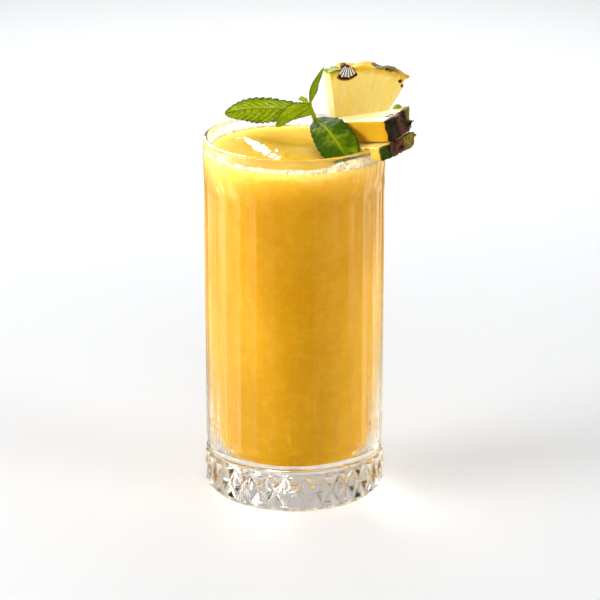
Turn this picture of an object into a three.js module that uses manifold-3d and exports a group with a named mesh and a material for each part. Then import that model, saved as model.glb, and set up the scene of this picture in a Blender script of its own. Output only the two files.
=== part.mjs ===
// A mango smoothie in a tall pressed-glass tumbler, garnished with three pineapple wedges on the
// rim and a sprig of mint.
//
// Millimetres, +Z up. The origin is the centre of the tumbler's flat underside. The drinker looks
// along +Y: the wedges sit on the right-hand rim (+X) and the mint stands beside them.

import * as THREE from 'three';
import { mergeVertices } from 'three/addons/utils/BufferGeometryUtils.js';
import Module from 'manifold-3d';

const wasm = await Module();
wasm.setup();

// Driving dimensions

const GAP = 0.3; // clearance between pieces that touch

const TUMBLER = {
  height: 154,
  radius: 38, // plain band under the lip
  flutes: 30, // flat facets round the body
  fluteRadius: 37.75, // over the ridges between facets
  fluteDepth: 0.2, // how far a facet's middle lies inside its ridges
  fluteTop: 140,
  fluteBottom: 24.6,
  scallop: 1.1, // how far each facet's rounded foot drops between its ridges
  notchRadius: 37.2, // waist between body and base
  notchHeight: 20.4,
  diamondPeak: 38.2, // points of the cut diamonds round the base
  diamondValley: 36.8,
  diamondBottom: 3,
  diamondTop: 16,
  footRadius: 35.6,
  footBevel: [2, 0.35], // inwards and upwards, where the underside turns up
  footHeight: 1.5, // where the cut band's own slope starts
  collarSwell: 0.35, // how much wider the waist grows at its two ends
  collarBottom: 17.6,
  collarTop: 22.8,
  fluteFoot: 0.05, // depth of a facet at its foot, and how far up it reaches its full depth
  fluteRise: 1.2,
  fluteFade: [8, 5], // below and above the flutes' top, where they merge into the plain band
  lip: 1.2, // radius of the rounded lip
  rimInner: 35.5,
  wallBottomRadius: 22.3, // inside radius just over the rounded floor corner
  wallBottomHeight: 25,
  floorHeight: 16.5,
  wallHeights: [151.8, 120, 80, 50], // rows down the inside of the wall
};

const DRINK = {
  contactHeight: 148.1, // mean height where the smoothie meets the glass
  contactTilt: 0.9, // it stands higher at the back left than at the front right
  contactAzimuth: 140,
  dome: 1.2,
  columns: 48,
  wallHeights: [60, 105], // rows between the rounded bottom and the top
  topRings: [0, 1.2, 3.6, 7, 10.5, 14, 17.5, 21, 24.5, 28, 31.5], // inwards from the wall
};

// The smoothie's top was poured in one thick fold. Its crest runs from a start point in a
// direction, steep in front and gentle behind, and is highest midway. A hollow lies behind it and
// a mound in front of the mint; each has its middle, its reach in x and y, and its height.
const FOLD = {
  start: [-18, 10], direction: [0.43, -0.9], height: 1.3, steep: 2.6, gentle: 8, middle: 16, reach: 20,
};
const HOLLOW = { middle: [-1, 13], reach: [8, 9], height: -1.5 };
const MOUND = { middle: [6, -12], reach: [9, 10], height: 0.9 };

// Each wedge is a slab cut from a round pineapple slice. Its apex is where its two straight cuts
// would meet, on the slab's upper face. Azimuth and rise point from the apex to the middle of the
// rind, and roll turns the slab about that line. Skew is how much the radius grows for each radian
// round the rind, and angles are in degrees.
const WEDGES = {
  pineapple_wedge_back: {
    apex: [20.9, 17, 129], azimuth: 1.9, rise: 77.3, roll: 112.3,
    radius: 51.2, skew: -3.2, halfAngle: 21.6, thickness: 7, coreRadius: 17.5,
    eyeOffset: -0.35, bracts: [[11.2, -2, 0.8]],
  },
  pineapple_wedge_middle: {
    apex: [4.9, 7.6, 157.5], azimuth: -29.8, rise: 12.6, roll: 5.6,
    radius: 45, skew: 0, halfAngle: 12, thickness: 9, coreRadius: 13.5,
    eyeOffset: 0.25, bracts: [[7, -6, 1.7]],
  },
  pineapple_wedge_lower: {
    apex: [6.2, 5.6, 147.6], azimuth: -33, rise: 12.5, roll: 3,
    radius: 45.6, skew: 0, halfAngle: 15.8, thickness: 5.2, coreRadius: 13.5,
    eyeOffset: 0.1, bracts: [[14, -1.4, 0.9], [-2, -3, 1.1]],
  },
};

const EYE = {
  pitch: 12.5, // distance between the pineapple's eyes along the rind
  bulge: 1.1, // how far an eye stands proud of the grooves round it
  mean: 0.35, // the height of that relief halfway between an eye and a groove
  bractLength: 3,
  bractRadius: 1.6,
  bractLean: 0.35, // how much a bract leans towards the slab's upper face
  bractFlat: 0.55, // its thickness over its width
  bractLift: 0.5, // how far its middle stands over the rind
};

// The back wedge was cut through two eyes. One is an open fan-shaped cup in its face, which starts
// at the rind's edge, and the other a bite out of its right-hand edge. A last bump of rind stands up at the
// far end of the middle wedge. Inset is how far a centre lies inside the rind.
const CUP = { angle: 11.6, inset: 1.4, tilt: 6, halfWidth: 4.5, height: 7, depth: 2.4 };
const BITE = { angle: -22.6, inset: 1.6, radius: 3, height: -2 };
const KNOB = { angle: 11.4, inset: 4.4, radius: 2, height: -0.3 };

const STEM = {
  radius: 0.8,
  route: [[6.2, 3.4, 167.5], [6.6, 3.4, 165.5], [8.4, 4, 160.5], [9.4, 5, 154], [10, 6, 146]],
};

// A leaf runs from base to tip through two points that shape its midrib. Its blade spreads along
// side, which turns from sideBase to sideTip, and fold lifts both margins out of that plane.
const LEAVES = {
  left: {
    midrib: [[7.5, 4, 162.6], [-5, 6, 163.8], [-18, 5.5, 164], [-28.8, 3.4, 162.6]],
    sideBase: [0.05, 0.93, 0.36], sideTip: [0, 0.84, 0.54],
    halfWidth: 7, fullest: 0.42, bluntness: 0.8, fold: 0.14, ripple: 0.3, cells: [16, 6],
  },
  right: {
    midrib: [[8.6, 3.8, 159.8], [13.4, -6.6, 158.6], [18.4, -16, 154], [23.6, -24.6, 148.2]],
    sideBase: [0.84, -0.5, 0.3], sideTip: [0.96, 0.02, 0.1],
    halfWidth: 8.2, fullest: 0.62, bluntness: 0.55, fold: 0.05, ripple: 0.3, cells: [16, 6],
  },
  front: {
    midrib: [[6.3, 2.6, 166.2], [1.8, -1.4, 166.4], [-3.4, -6, 163.9], [-7.4, -9, 160.4]],
    sideBase: [-0.5, 0.3, 0.8], sideTip: [-0.6, 0.25, 0.75],
    halfWidth: 3, fullest: 0.45, bluntness: 0.6, fold: 0.3, ripple: 0.2, cells: [12, 4],
  },
  upright: {
    midrib: [[6.5, 3.4, 166.8], [7.9, 4.2, 171.5], [9.8, 5.6, 176.5], [12.4, 7.8, 181.4]],
    sideBase: [0.95, 0.3, -0.2], sideTip: [0.8, 0.3, -0.5],
    halfWidth: 1.6, fullest: 0.38, bluntness: 1.1, fold: 0.35, ripple: 0.1, cells: [12, 4],
  },
  bud: {
    midrib: [[6.2, 3.2, 166.6], [5, 2.6, 168.4], [3.4, 2.2, 169.4], [1.6, 1.8, 169.2]],
    sideBase: [0.3, 0.8, 0.4], sideTip: [0.3, 0.8, 0.4],
    halfWidth: 1.5, fullest: 0.45, bluntness: 0.8, fold: 0.3, ripple: 0.1, cells: [8, 4],
  },
};
const LEAF_THICKNESS = 0.6;
const LEAF_TOOTH = 0.07; // saw teeth of the margin, as a share of the blade's width
const LEAF_END = 0.25; // half width left at a leaf's base and tip
const LEAF_WAVES = 15; // how fast its margins ripple from base to tip, in radians over its length

// Closed solids, and joining or cutting them

function closedSolid(geometry) {
  const bare = geometry.clone();
  bare.deleteAttribute('normal');
  bare.deleteAttribute('uv');
  const merged = mergeVertices(bare, 1e-4);
  const corners = merged.index.array;
  const kept = [];
  for (let start = 0; start < corners.length; start += 3) {
    const [a, b, c] = corners.subarray(start, start + 3);
    if (a !== b && b !== c && c !== a) kept.push(a, b, c);
  }
  return new wasm.Manifold(new wasm.Mesh({
    numProp: 3,
    vertProperties: new Float32Array(merged.attributes.position.array),
    triVerts: new Uint32Array(kept),
  }));
}

// The largest body of a solid: a cut can leave loose scraps beside it.
function largestBody(solid) {
  return solid.decompose().reduce((best, body) => (body.volume() > best.volume() ? body : best));
}

function joined(solids) {
  return solids.reduce((sum, solid) => sum.add(solid));
}

function part(name, solid, color, roughness) {
  const mesh = solid.getMesh();
  const geometry = new THREE.BufferGeometry();
  geometry.setAttribute('position', new THREE.BufferAttribute(new Float32Array(mesh.vertProperties), 3));
  geometry.setIndex(new THREE.BufferAttribute(new Uint32Array(mesh.triVerts), 1));
  geometry.computeVertexNormals();
  const material = new THREE.MeshStandardMaterial({ color, roughness, metalness: 0 });
  const result = new THREE.Mesh(geometry, material);
  result.name = name;
  return result;
}

// Small helpers

const radians = THREE.MathUtils.degToRad;

function bump(distance, reach) {
  return Math.exp(-((distance / reach) ** 2));
}

// Swaps the diagonal of the quad whose six corner indices start at the given place.
function turnDiagonal(index, start) {
  const [a, b, d] = [0, 1, 2].map((step) => index.getX(start + step));
  const c = [3, 4, 5].map((step) => index.getX(start + step)).find((corner) => corner !== b && corner !== d);
  [a, b, c, a, c, d].forEach((corner, step) => index.setX(start + step, corner));
}

// A turned body. Each row gives a radius and a height for every column round the axis, from the
// centre of the underside outwards, up, and back to the axis. Column 0 faces the drinker.
function turned(rows, columns) {
  const profile = rows.map((row) => {
    const { radius, height } = row(0);
    return new THREE.Vector2(radius, height);
  });
  const geometry = new THREE.LatheGeometry(profile, columns);
  for (let column = 0; column <= columns; column += 1) {
    const angle = (2 * Math.PI * (column % columns)) / columns;
    rows.forEach((row, place) => {
      const { radius, height } = row(column % columns);
      geometry.attributes.position.setXYZ(
        column * rows.length + place,
        radius * Math.sin(angle),
        -radius * Math.cos(angle),
        height,
      );
    });
  }
  return geometry;
}

function ring(radius, height) {
  return () => ({ radius, height });
}

// Tumbler: two columns for each flute, so even columns run along the ridges between the facets
// and odd columns along the facets' middles.

const COLUMNS = 2 * TUMBLER.flutes;

function wallInnerRadius(height) {
  const share = (height - TUMBLER.wallBottomHeight) / (TUMBLER.height - TUMBLER.wallBottomHeight);
  return THREE.MathUtils.lerp(TUMBLER.wallBottomRadius, TUMBLER.rimInner, share);
}

// Radii and heights along the rounded corner between the floor and the wall.
function floorCorner(steps, shrink) {
  const floor = TUMBLER.floorHeight + shrink;
  const wall = TUMBLER.wallBottomRadius - shrink;
  const reach = TUMBLER.wallBottomHeight - floor;
  const points = [];
  for (let step = 0; step <= steps; step += 1) {
    const turn = (Math.PI / 2) * (step / steps);
    points.push([wall - reach * (1 - Math.cos(turn)), TUMBLER.wallBottomHeight - reach * Math.sin(turn)]);
  }
  return points;
}

function fluteRow(height, depth, drop = 0) {
  return (column) => {
    const middle = column % 2;
    return { radius: TUMBLER.fluteRadius - middle * depth, height: height - middle * drop };
  };
}

// Diamond rows: the cut grooves cross at the valleys, and the points stand between them.
function diamondRow(height, peakOnRidge) {
  return (column) => {
    const onRidge = column % 2 === 0;
    const peak = onRidge === peakOnRidge;
    return { radius: peak ? TUMBLER.diamondPeak : TUMBLER.diamondValley, height };
  };
}

function tumbler() {
  const t = TUMBLER;
  const lipCentre = t.height - t.lip;
  const middleHeight = (t.diamondBottom + t.diamondTop) / 2;
  const rows = [
    ring(0, 0),
    ring(t.footRadius - t.footBevel[0], 0),
    ring(t.footRadius, t.footBevel[1]),
    ring(t.diamondValley, t.footHeight),
    diamondRow(t.diamondBottom, true),
    diamondRow(middleHeight, false),
    diamondRow(t.diamondTop, true),
    ring(t.notchRadius + t.collarSwell, t.collarBottom),
    ring(t.notchRadius, t.notchHeight),
    ring(t.notchRadius + t.collarSwell, t.collarTop),
    fluteRow(t.fluteBottom, t.fluteFoot, t.scallop),
    fluteRow(t.fluteBottom + t.fluteRise, t.fluteDepth),
    fluteRow(t.fluteTop - t.fluteFade[0], t.fluteDepth),
    fluteRow(t.fluteTop, 0),
    ring(t.radius, t.fluteTop + t.fluteFade[1]),
    ring(t.radius, lipCentre),
  ];
  const lipSteps = 5;
  for (let step = 1; step <= lipSteps; step += 1) {
    const turn = (Math.PI * step) / (lipSteps + 1);
    const middle = (t.radius + t.rimInner) / 2;
    const half = (t.radius - t.rimInner) / 2;
    rows.push(ring(middle + half * Math.cos(turn), lipCentre + t.lip * Math.sin(turn)));
  }
  t.wallHeights.forEach((height) => rows.push(ring(wallInnerRadius(height), height)));
  floorCorner(5, 0).forEach(([radius, height]) => rows.push(ring(radius, height)));
  rows.push(ring(0, t.floorHeight));

  const geometry = turned(rows, COLUMNS);
  const bottomRow = 4; // the lower of the three diamond rows
  for (let column = 0; column < COLUMNS; column += 1) {
    for (const row of [bottomRow, bottomRow + 1]) {
      const alongGroove = (column % 2 === 0) === (row === bottomRow);
      const quad = column * (rows.length - 1) + row;
      if (!alongGroove) turnDiagonal(geometry.index, quad * 6);
    }
  }
  return closedSolid(geometry);
}

// Smoothie

function drinkContact(angle) {
  return DRINK.contactHeight + DRINK.contactTilt * Math.cos(angle - radians(DRINK.contactAzimuth));
}

function swell({ middle, reach, height }, x, y) {
  return height * bump(x - middle[0], reach[0]) * bump(y - middle[1], reach[1]);
}

function foldHeight(x, y) {
  const direction = new THREE.Vector2(...FOLD.direction);
  const from = new THREE.Vector2(x - FOLD.start[0], y - FOLD.start[1]);
  const across = from.x * direction.y - from.y * direction.x;
  const run = from.dot(direction);
  const slope = across > 0 ? FOLD.steep : FOLD.gentle;
  return FOLD.height * bump(across, slope) * bump(run - FOLD.middle, FOLD.reach);
}

function drinkHeight(x, y) {
  const edge = wallInnerRadius(DRINK.contactHeight);
  const share = Math.min(Math.hypot(x, y) / edge, 1);
  const level = drinkContact(Math.atan2(y, x)) * share + DRINK.contactHeight * (1 - share);
  const inside = 1 - share ** 4;
  const relief = foldHeight(x, y) + swell(HOLLOW, x, y) + swell(MOUND, x, y);
  return level + inside * (DRINK.dome * (1 - share ** 2) + relief);
}

function drink() {
  const rows = [ring(0, TUMBLER.floorHeight + GAP)];
  floorCorner(4, GAP).reverse().forEach(([radius, height]) => rows.push(ring(radius, height)));
  DRINK.wallHeights.forEach((height) => rows.push(ring(wallInnerRadius(height) - GAP, height)));
  const surface = (distance) => (column) => {
    const angle = (2 * Math.PI * column) / DRINK.columns - Math.PI / 2;
    const radius = wallInnerRadius(DRINK.contactHeight) - GAP - distance;
    return { radius, height: drinkHeight(radius * Math.cos(angle), radius * Math.sin(angle)) };
  };
  DRINK.topRings.forEach((distance) => rows.push(surface(distance)));
  rows.push(ring(0, drinkHeight(0, 0)));
  return closedSolid(turned(rows, DRINK.columns));
}

// Pineapple wedges

function wedgeAxes({ azimuth, rise, roll }) {
  const [turn, lift] = [radians(azimuth), radians(rise)];
  const outward = new THREE.Vector3(Math.cos(lift) * Math.cos(turn), Math.cos(lift) * Math.sin(turn), Math.sin(lift));
  const sideways = new THREE.Vector3(-Math.sin(turn), Math.cos(turn), 0).applyAxisAngle(outward, radians(roll));
  const upward = new THREE.Vector3().crossVectors(outward, sideways);
  return { outward, sideways, upward };
}

// A point of the wedge from its distance to the apex, its angle from the middle line in radians
// and its height over the slab's upper face.
function wedgePoint(wedge, axes, distance, angle, height) {
  return new THREE.Vector3(...wedge.apex)
    .addScaledVector(axes.outward, distance * Math.cos(angle))
    .addScaledVector(axes.sideways, distance * Math.sin(angle))
    .addScaledVector(axes.upward, height);
}

// How far the rind stands out at a place on it: eyes bulge between sunken grooves.
function rindRelief(wedge, angle, depth) {
  const along = (wedge.radius * angle) / EYE.pitch + wedge.eyeOffset;
  const across = depth / EYE.pitch;
  const first = Math.cos(Math.PI * (along + across)) ** 2;
  const second = Math.cos(Math.PI * (along - across)) ** 2;
  return EYE.bulge * (Math.sqrt(first * second) - EYE.mean);
}

function rindRadius(wedge, angle) {
  return wedge.radius + wedge.skew * angle;
}

function wedgeBody(wedge, grow = 0) {
  const axes = wedgeAxes(wedge);
  const geometry = new THREE.BoxGeometry(1, 1, 1, 6, 18, 5);
  const position = geometry.attributes.position;
  const half = radians(wedge.halfAngle);
  for (let vertex = 0; vertex < position.count; vertex += 1) {
    const outer = position.getX(vertex) + 0.5;
    const angle = 2 * half * position.getY(vertex);
    const height = wedge.thickness * (position.getZ(vertex) - 0.5);
    const relief = outer > 0.99 ? rindRelief(wedge, angle, height) : 0;
    const core = wedge.coreRadius / Math.cos(angle);
    const distance = THREE.MathUtils.lerp(core, rindRadius(wedge, angle), outer) + relief + grow * (2 * outer - 1);
    const place = wedgePoint(wedge, axes, distance, angle, height + 2 * grow * position.getZ(vertex));
    place.addScaledVector(axes.sideways, 2 * grow * position.getY(vertex));
    position.setXYZ(vertex, place.x, place.y, place.z);
  }
  return closedSolid(geometry);
}

// The dry pointed scale at the middle of an eye, from its angle in degrees, its depth and its size.
function bract(wedge, [degrees, depth, size]) {
  const axes = wedgeAxes(wedge);
  const angle = radians(degrees);
  const cone = new THREE.ConeGeometry(size * EYE.bractRadius, size * EYE.bractLength, 6);
  const foot = wedgePoint(wedge, axes, rindRadius(wedge, angle) + rindRelief(wedge, angle, depth), angle, depth);
  const outward = axes.outward.clone().multiplyScalar(Math.cos(angle));
  outward.addScaledVector(axes.sideways, Math.sin(angle));
  outward.addScaledVector(axes.upward, EYE.bractLean).normalize();
  cone.scale(1, 1, EYE.bractFlat);
  cone.applyQuaternion(new THREE.Quaternion().setFromUnitVectors(new THREE.Vector3(0, 1, 0), outward));
  foot.addScaledVector(outward, EYE.bractLift);
  cone.translate(foot.x, foot.y, foot.z);
  return closedSolid(cone);
}

function pineappleWedge(wedge) {
  return joined([wedgeBody(wedge), ...wedge.bracts.map((place) => bract(wedge, place))]);
}

function openCup(wedge) {
  const axes = wedgeAxes(wedge);
  const fan = [[0, -0.5], [0.55, -0.42], [0.9, -0.25], [1, -0.08], [0, 0.5]];
  const cup = new THREE.LatheGeometry(fan.map(([x, y]) => new THREE.Vector2(x, y)), 12);
  cup.scale(CUP.halfWidth, CUP.height, CUP.depth);
  const sideways = axes.sideways.clone().applyAxisAngle(axes.upward, radians(CUP.tilt));
  const outward = axes.outward.clone().applyAxisAngle(axes.upward, radians(CUP.tilt));
  const turn = new THREE.Matrix4().makeBasis(sideways.negate(), outward, axes.upward);
  turn.setPosition(wedgePoint(wedge, axes, wedge.radius - CUP.inset, radians(CUP.angle), 0));
  return closedSolid(cup.applyMatrix4(turn));
}

function ball(wedge, { angle, inset, radius, height }) {
  const geometry = new THREE.SphereGeometry(radius, 10, 6);
  const place = wedgePoint(wedge, wedgeAxes(wedge), wedge.radius - inset, radians(angle), height);
  return closedSolid(geometry.translate(place.x, place.y, place.z));
}

// The slot that lets a wedge straddle the glass: the wall with clearance all round.
const SLOT_BOTTOM = 135;

function rimSlot() {
  const t = TUMBLER;
  const profile = [
    new THREE.Vector2(wallInnerRadius(SLOT_BOTTOM) - GAP, SLOT_BOTTOM),
    new THREE.Vector2(t.radius + GAP, SLOT_BOTTOM),
    new THREE.Vector2(t.radius + GAP, t.height + GAP),
    new THREE.Vector2(wallInnerRadius(t.height) - GAP, t.height + GAP),
    new THREE.Vector2(wallInnerRadius(SLOT_BOTTOM) - GAP, SLOT_BOTTOM),
  ];
  const geometry = new THREE.LatheGeometry(profile, COLUMNS);
  geometry.rotateX(Math.PI / 2);
  return closedSolid(geometry);
}

// Mint

function leafWidth(leaf, run) {
  const rise = run < leaf.fullest ? run / leaf.fullest : (1 - run) / (1 - leaf.fullest);
  const tooth = 1 + LEAF_TOOTH * (Math.round(run * leaf.cells[0]) % 2 ? 1 : -1);
  return LEAF_END + leaf.halfWidth * Math.sin((Math.PI / 2) * rise) ** leaf.bluntness * tooth;
}

function leafBlade(leaf, grow = 0) {
  const midrib = new THREE.CatmullRomCurve3(leaf.midrib.map((point) => new THREE.Vector3(...point)));
  const [long, wide] = leaf.cells;
  const geometry = new THREE.BoxGeometry(1, 1, 1, long, wide, 1);
  const underside = geometry.groups[5];
  for (let start = underside.start; start < underside.start + underside.count; start += 6) {
    turnDiagonal(geometry.index, start);
  }
  const position = geometry.attributes.position;
  for (let vertex = 0; vertex < position.count; vertex += 1) {
    const run = position.getX(vertex) + 0.5;
    const spread = 2 * position.getY(vertex);
    const along = midrib.getTangent(run);
    const side = new THREE.Vector3(...leaf.sideBase).lerp(new THREE.Vector3(...leaf.sideTip), run);
    side.addScaledVector(along, -side.dot(along)).normalize();
    const normal = new THREE.Vector3().crossVectors(along, side);
    const width = leafWidth(leaf, run) + grow;
    const ripple = leaf.ripple * Math.sin(run * LEAF_WAVES + spread) * spread ** 2;
    const lift = leaf.fold * width * Math.abs(spread) + ripple + (LEAF_THICKNESS + 2 * grow) * position.getZ(vertex);
    const place = midrib.getPoint(run).addScaledVector(side, width * spread).addScaledVector(normal, lift);
    position.setXYZ(vertex, place.x, place.y, place.z);
  }
  return closedSolid(geometry);
}

function stem(grow = 0) {
  const route = new THREE.CatmullRomCurve3(STEM.route.map((point) => new THREE.Vector3(...point)));
  const section = new THREE.Shape();
  section.absarc(0, 0, STEM.radius + grow, 0, 2 * Math.PI);
  const geometry = new THREE.ExtrudeGeometry(section, {
    steps: 12, curveSegments: 4, bevelEnabled: false, extrudePath: route,
  });
  return closedSolid(geometry);
}

function mintSprig(grow = 0) {
  return joined([stem(grow), ...Object.values(LEAVES).map((leaf) => leafBlade(leaf, grow))]);
}

// Assembly

const slot = rimSlot();
const { pineapple_wedge_back: back, pineapple_wedge_middle: middle, pineapple_wedge_lower: lower } = WEDGES;
const wedges = {
  pineapple_wedge_back: pineappleWedge(back).subtract(joined([slot, openCup(back), ball(back, BITE)])),
  pineapple_wedge_middle: pineappleWedge(middle).add(ball(middle, KNOB)).subtract(slot),
  pineapple_wedge_lower: pineappleWedge(lower).subtract(slot),
};

const room = [mintSprig(GAP), ...Object.values(WEDGES).map((wedge) => wedgeBody(wedge, GAP))];
const smoothie = largestBody(drink().subtract(joined(room)));

const model = new THREE.Group();
model.add(part('tumbler', tumbler(), 0xe8eef0, 0.05));
model.add(part('smoothie', smoothie, 0xf2b632, 0.45));
for (const [name, solid] of Object.entries(wedges)) {
  model.add(part(name, largestBody(solid), 0xf6cf5a, 0.5));
}
model.add(part('mint_sprig', mintSprig(), 0x4f8f1f, 0.55));

export default model;
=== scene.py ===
"""Looks of a mango smoothie in a fluted tumbler with pineapple wedges and mint, in metres, +Z up."""

import math

import bmesh
import bpy
import numpy as np
from bpy.props import FloatProperty, FloatVectorProperty, IntProperty, PointerProperty
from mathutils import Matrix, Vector


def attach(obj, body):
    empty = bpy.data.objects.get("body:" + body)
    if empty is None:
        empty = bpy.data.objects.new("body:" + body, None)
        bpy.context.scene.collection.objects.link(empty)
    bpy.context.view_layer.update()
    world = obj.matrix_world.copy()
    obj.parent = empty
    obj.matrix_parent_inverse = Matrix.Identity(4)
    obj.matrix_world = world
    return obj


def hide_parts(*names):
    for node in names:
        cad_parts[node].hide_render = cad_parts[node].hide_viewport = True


bl_info = {
    "name": "Mango Smoothie",
    "version": (1, 0, 0),
    "blender": (4, 5, 0),
    "location": "3D View > Sidebar > Smoothie",
    "description": "Builds a garnished mango smoothie in a fluted glass, with its materials and studio",
    "category": "Object",
}

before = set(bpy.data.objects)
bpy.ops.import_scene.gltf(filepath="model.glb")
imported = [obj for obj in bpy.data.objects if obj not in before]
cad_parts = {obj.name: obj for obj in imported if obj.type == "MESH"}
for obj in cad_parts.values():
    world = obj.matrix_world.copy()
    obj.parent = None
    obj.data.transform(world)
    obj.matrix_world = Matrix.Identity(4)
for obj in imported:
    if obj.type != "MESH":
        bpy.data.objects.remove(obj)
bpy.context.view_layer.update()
MM = 0.001
IMAGE_SIDE = 600

# Camera of the photograph: place and aim in metres, focal length in pixels of a 600 pixel wide image

CAMERA_PLACE = (0.0, -1.1336, 0.4656)
CAMERA_TARGET = (0.00237, 0.0, 0.08215)
CAMERA_FOCAL_PIXELS = 2831.4
CAMERA_SENSOR = 36
CAMERA_CLIP = (0.05, 20)

# Studio, in degrees from straight behind the camera towards the right. Each lamp has its azimuth, its
# rise over the horizon, its side in metres and its power in watts. The glow is what upright glass
# mirrors from below the horizon: the middle of each stretch, its half width and its level, which
# patches of noise vary by the two factors of its spread. The floor lies a hair under the glass, so
# that the underside mirrors the drink as real glass does.

LAMPS = {
    "left": (-72, 20, 0.6, 12),
    "right": (66, 20, 0.5, 5.6),
    "front": (5, 30, 0.6, 2.6),
    "overhead": (0, 80, 0.8, 2.5),
}
LAMP_DISTANCE = 1.1
LAMP_AIM = (0, 0, 0.08)
GLOW = (
    (-48, 14, 0.35), (-74, 14, 1.1), (-98, 14, 1.7), (-120, 13, 1.8), (-142, 13, 0.9), (-164, 8, 0.4),
    (38, 12, 0.3), (64, 12, 0.5), (90, 12, 0.95), (114, 12, 1.5), (140, 14, 2.0), (168, 8, 0.8),
)
GLOW_TINT = (1.0, 0.93, 0.7)
GLOW_PATCHES = 9
GLOW_SPREAD = (0.35, 1.65)
BACK_LEVEL = 0.62
FRONT_LEVEL = 0.1
FLOOR_HEIGHT = -0.0002
FLOOR_SIDE = 6
FLOOR_TONES = ((0.695, 0.705, 0.715), (0.715, 0.725, 0.735))

# Lamps at the back, in metres: place, aim, sides, power, and the kinds of ray that don't meet them.
# One lights the floor behind, one gives the wet crest its streak, and two sparkle in the cut base.

DRINK_TOP = (0, 0, 0.15)
BACK_LAMPS = {
    "behind": ((0, 0.7, 0.5), (0, 0.72, 0), (0.8, 0.6), 3.6, ("glossy", "transmission")),
    "highlight": ((-0.33, 0.85, 0.6), DRINK_TOP, (0.36, 0.5), 55, ("diffuse", "transmission")),
    "sparkle_left": ((-0.33, 0.85, 0.6), DRINK_TOP, (0.07, 0.4), 2.5, ("diffuse", "glossy")),
    "sparkle_right": ((0.33, 0.85, 0.6), DRINK_TOP, (0.07, 0.4), 2.5, ("diffuse", "glossy")),
}

# Fineness of the tumbler's profile and of the drink: how many rows or columns each stretch has

PROFILE_ROWS = {
    "foot": 5, "cuts": 44, "collar": 12, "flute_feet": 16, "flutes": 8, "fade": 9, "lip": 14, "wall": 12,
    "corner": 8,
}
DRINK_ROWS = {"columns": 256, "corner": 8, "wall": 40, "top": 90}
COLUMNS_PER_FLUTE = 16

# The drink's top, in millimetres: a poured fold runs from its start along a line, steep on one side
# and gentle on the other, with small lumps on its crest. A hollow and a mound lie beside it. The
# shoulder is how far under the fill height the rows of its side end, and the rings say how far
# inside the wall the first and the last ring of the top lie.

FOLD = {
    "start": (-18, 10), "along": (0.43, -0.9), "rise": 1.3, "steep": 2.6, "gentle": 8.0,
    "middle": 16, "reach": 24, "lumps": 0.32, "lump_width": 6,
}
HOLLOW = {"rise": -1.5, "middle": (-1, 13), "reach": (8, 9)}
MOUND = {"rise": 0.9, "middle": (6, -12), "reach": (9, 10)}
SHOULDER = 4
TOP_RINGS = (0.25, 34.5)

# Pineapple wedges, in millimetres and degrees. The apex is where a wedge's two straight cuts would
# meet on its upper face; azimuth and rise point from there to the middle of the rind, and roll
# turns the slab about that line. Skew is how much the radius grows for each radian along the rind.
# Pale is the paleness of its flesh; its top and its far cut get painted light, paler as they turn upwards
# or to the side, and golden is how much of it is lost next to the rind. Each scale of the rind starts
# at an angle, and a spot has its depth under the rind, its angle, its radius and its tone.

WEDGES = {
    "pineapple_wedge_back": {
        "apex": (20.9, 17, 129), "azimuth": 1.9, "rise": 77.3, "roll": 112.3,
        "radius": 51.2, "skew": -3.2, "rind_depth": 0.5,
        "pale": 0.57, "painted_light_top": 0.9, "painted_light_side": 1, "golden": 0.42,
        "scales": ((-25, "amber"), (-17, "olive"), (-3, "trimmed"), (15.5, "green")),
        "spots": ((3.2, -18.1, 1, "brown"), (4.6, -20.5, 0.9, "brown"), (0.4, -8.5, 0.8, "brown")),
    },
    "pineapple_wedge_middle": {
        "apex": (4.9, 7.6, 157.5), "azimuth": -29.8, "rise": 12.6, "roll": 5.6,
        "radius": 45, "skew": 0, "rind_depth": 1.9,
        "pale": 0.05, "painted_light_top": 0.84, "painted_light_side": 0, "golden": 0.15,
        "scales": ((-25, "black"), (-3.5, "plum"), (2.5, "black"), (7, "olive")),
        "spots": ((4.6, -3.6, 1.5, "maroon"), (3.6, -0.8, 1.5, "maroon"), (4.4, 11.4, 2.4, "green")),
    },
    "pineapple_wedge_lower": {
        "apex": (6.2, 5.6, 147.6), "azimuth": -33, "rise": 12.5, "roll": 3,
        "radius": 45.6, "skew": 0, "rind_depth": 2.1,
        "pale": 0.25, "painted_light_top": 0.58, "painted_light_side": 0, "golden": 0.2,
        "scales": ((-25, "dark_green"), (-9, "plum"), (2.5, "olive")),
        "spots": (),
    },
}

FRUIT_VOXEL = 0.3
FRUIT_RELIEF = {"fibre": 0.05, "crag": 0.27, "groove": 0.35}
RIND_TONES = {
    "green": (0.28, 0.36, 0.012), "dark_green": (0.045, 0.07, 0.004), "black": (0.03, 0.022, 0.010),
    "plum": (0.13, 0.05, 0.03), "olive": (0.27, 0.20, 0.022), "trimmed": (0.95, 0.56, 0.02),
    "amber": (0.62, 0.30, 0.03), "brown": (0.16, 0.05, 0.01), "maroon": (0.30, 0.03, 0.008),
    "bract": (0.34, 0.085, 0.012), "hollow": (0.05, 0.014, 0.006),
}

# The open eye at the top of the back wedge, in millimetres and degrees: white petals fan from a dark
# apex under a bract, which lies a little outside the wedge's front edge.

EYE = {
    "inset": -2.4, "angle": 11.4, "turn": 6, "petals": 6, "spread": 68, "start": 2.4, "length": 4.5,
    "radius": 0.5, "slope": 0.82, "reach": 7.1, "lip": 1.4,
    "tones": ((0.80, 0.70, 0.52), (0.95, 0.93, 0.88)),
}

# Froth along the drink's edge, in millimetres and degrees. Azimuths start at the camera's side and
# grow to the right. The film climbs higher at the front, and highest where it is smeared under the
# right leaf. Bubbles and flecks are sunk in the glass by a share of their radius.

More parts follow.
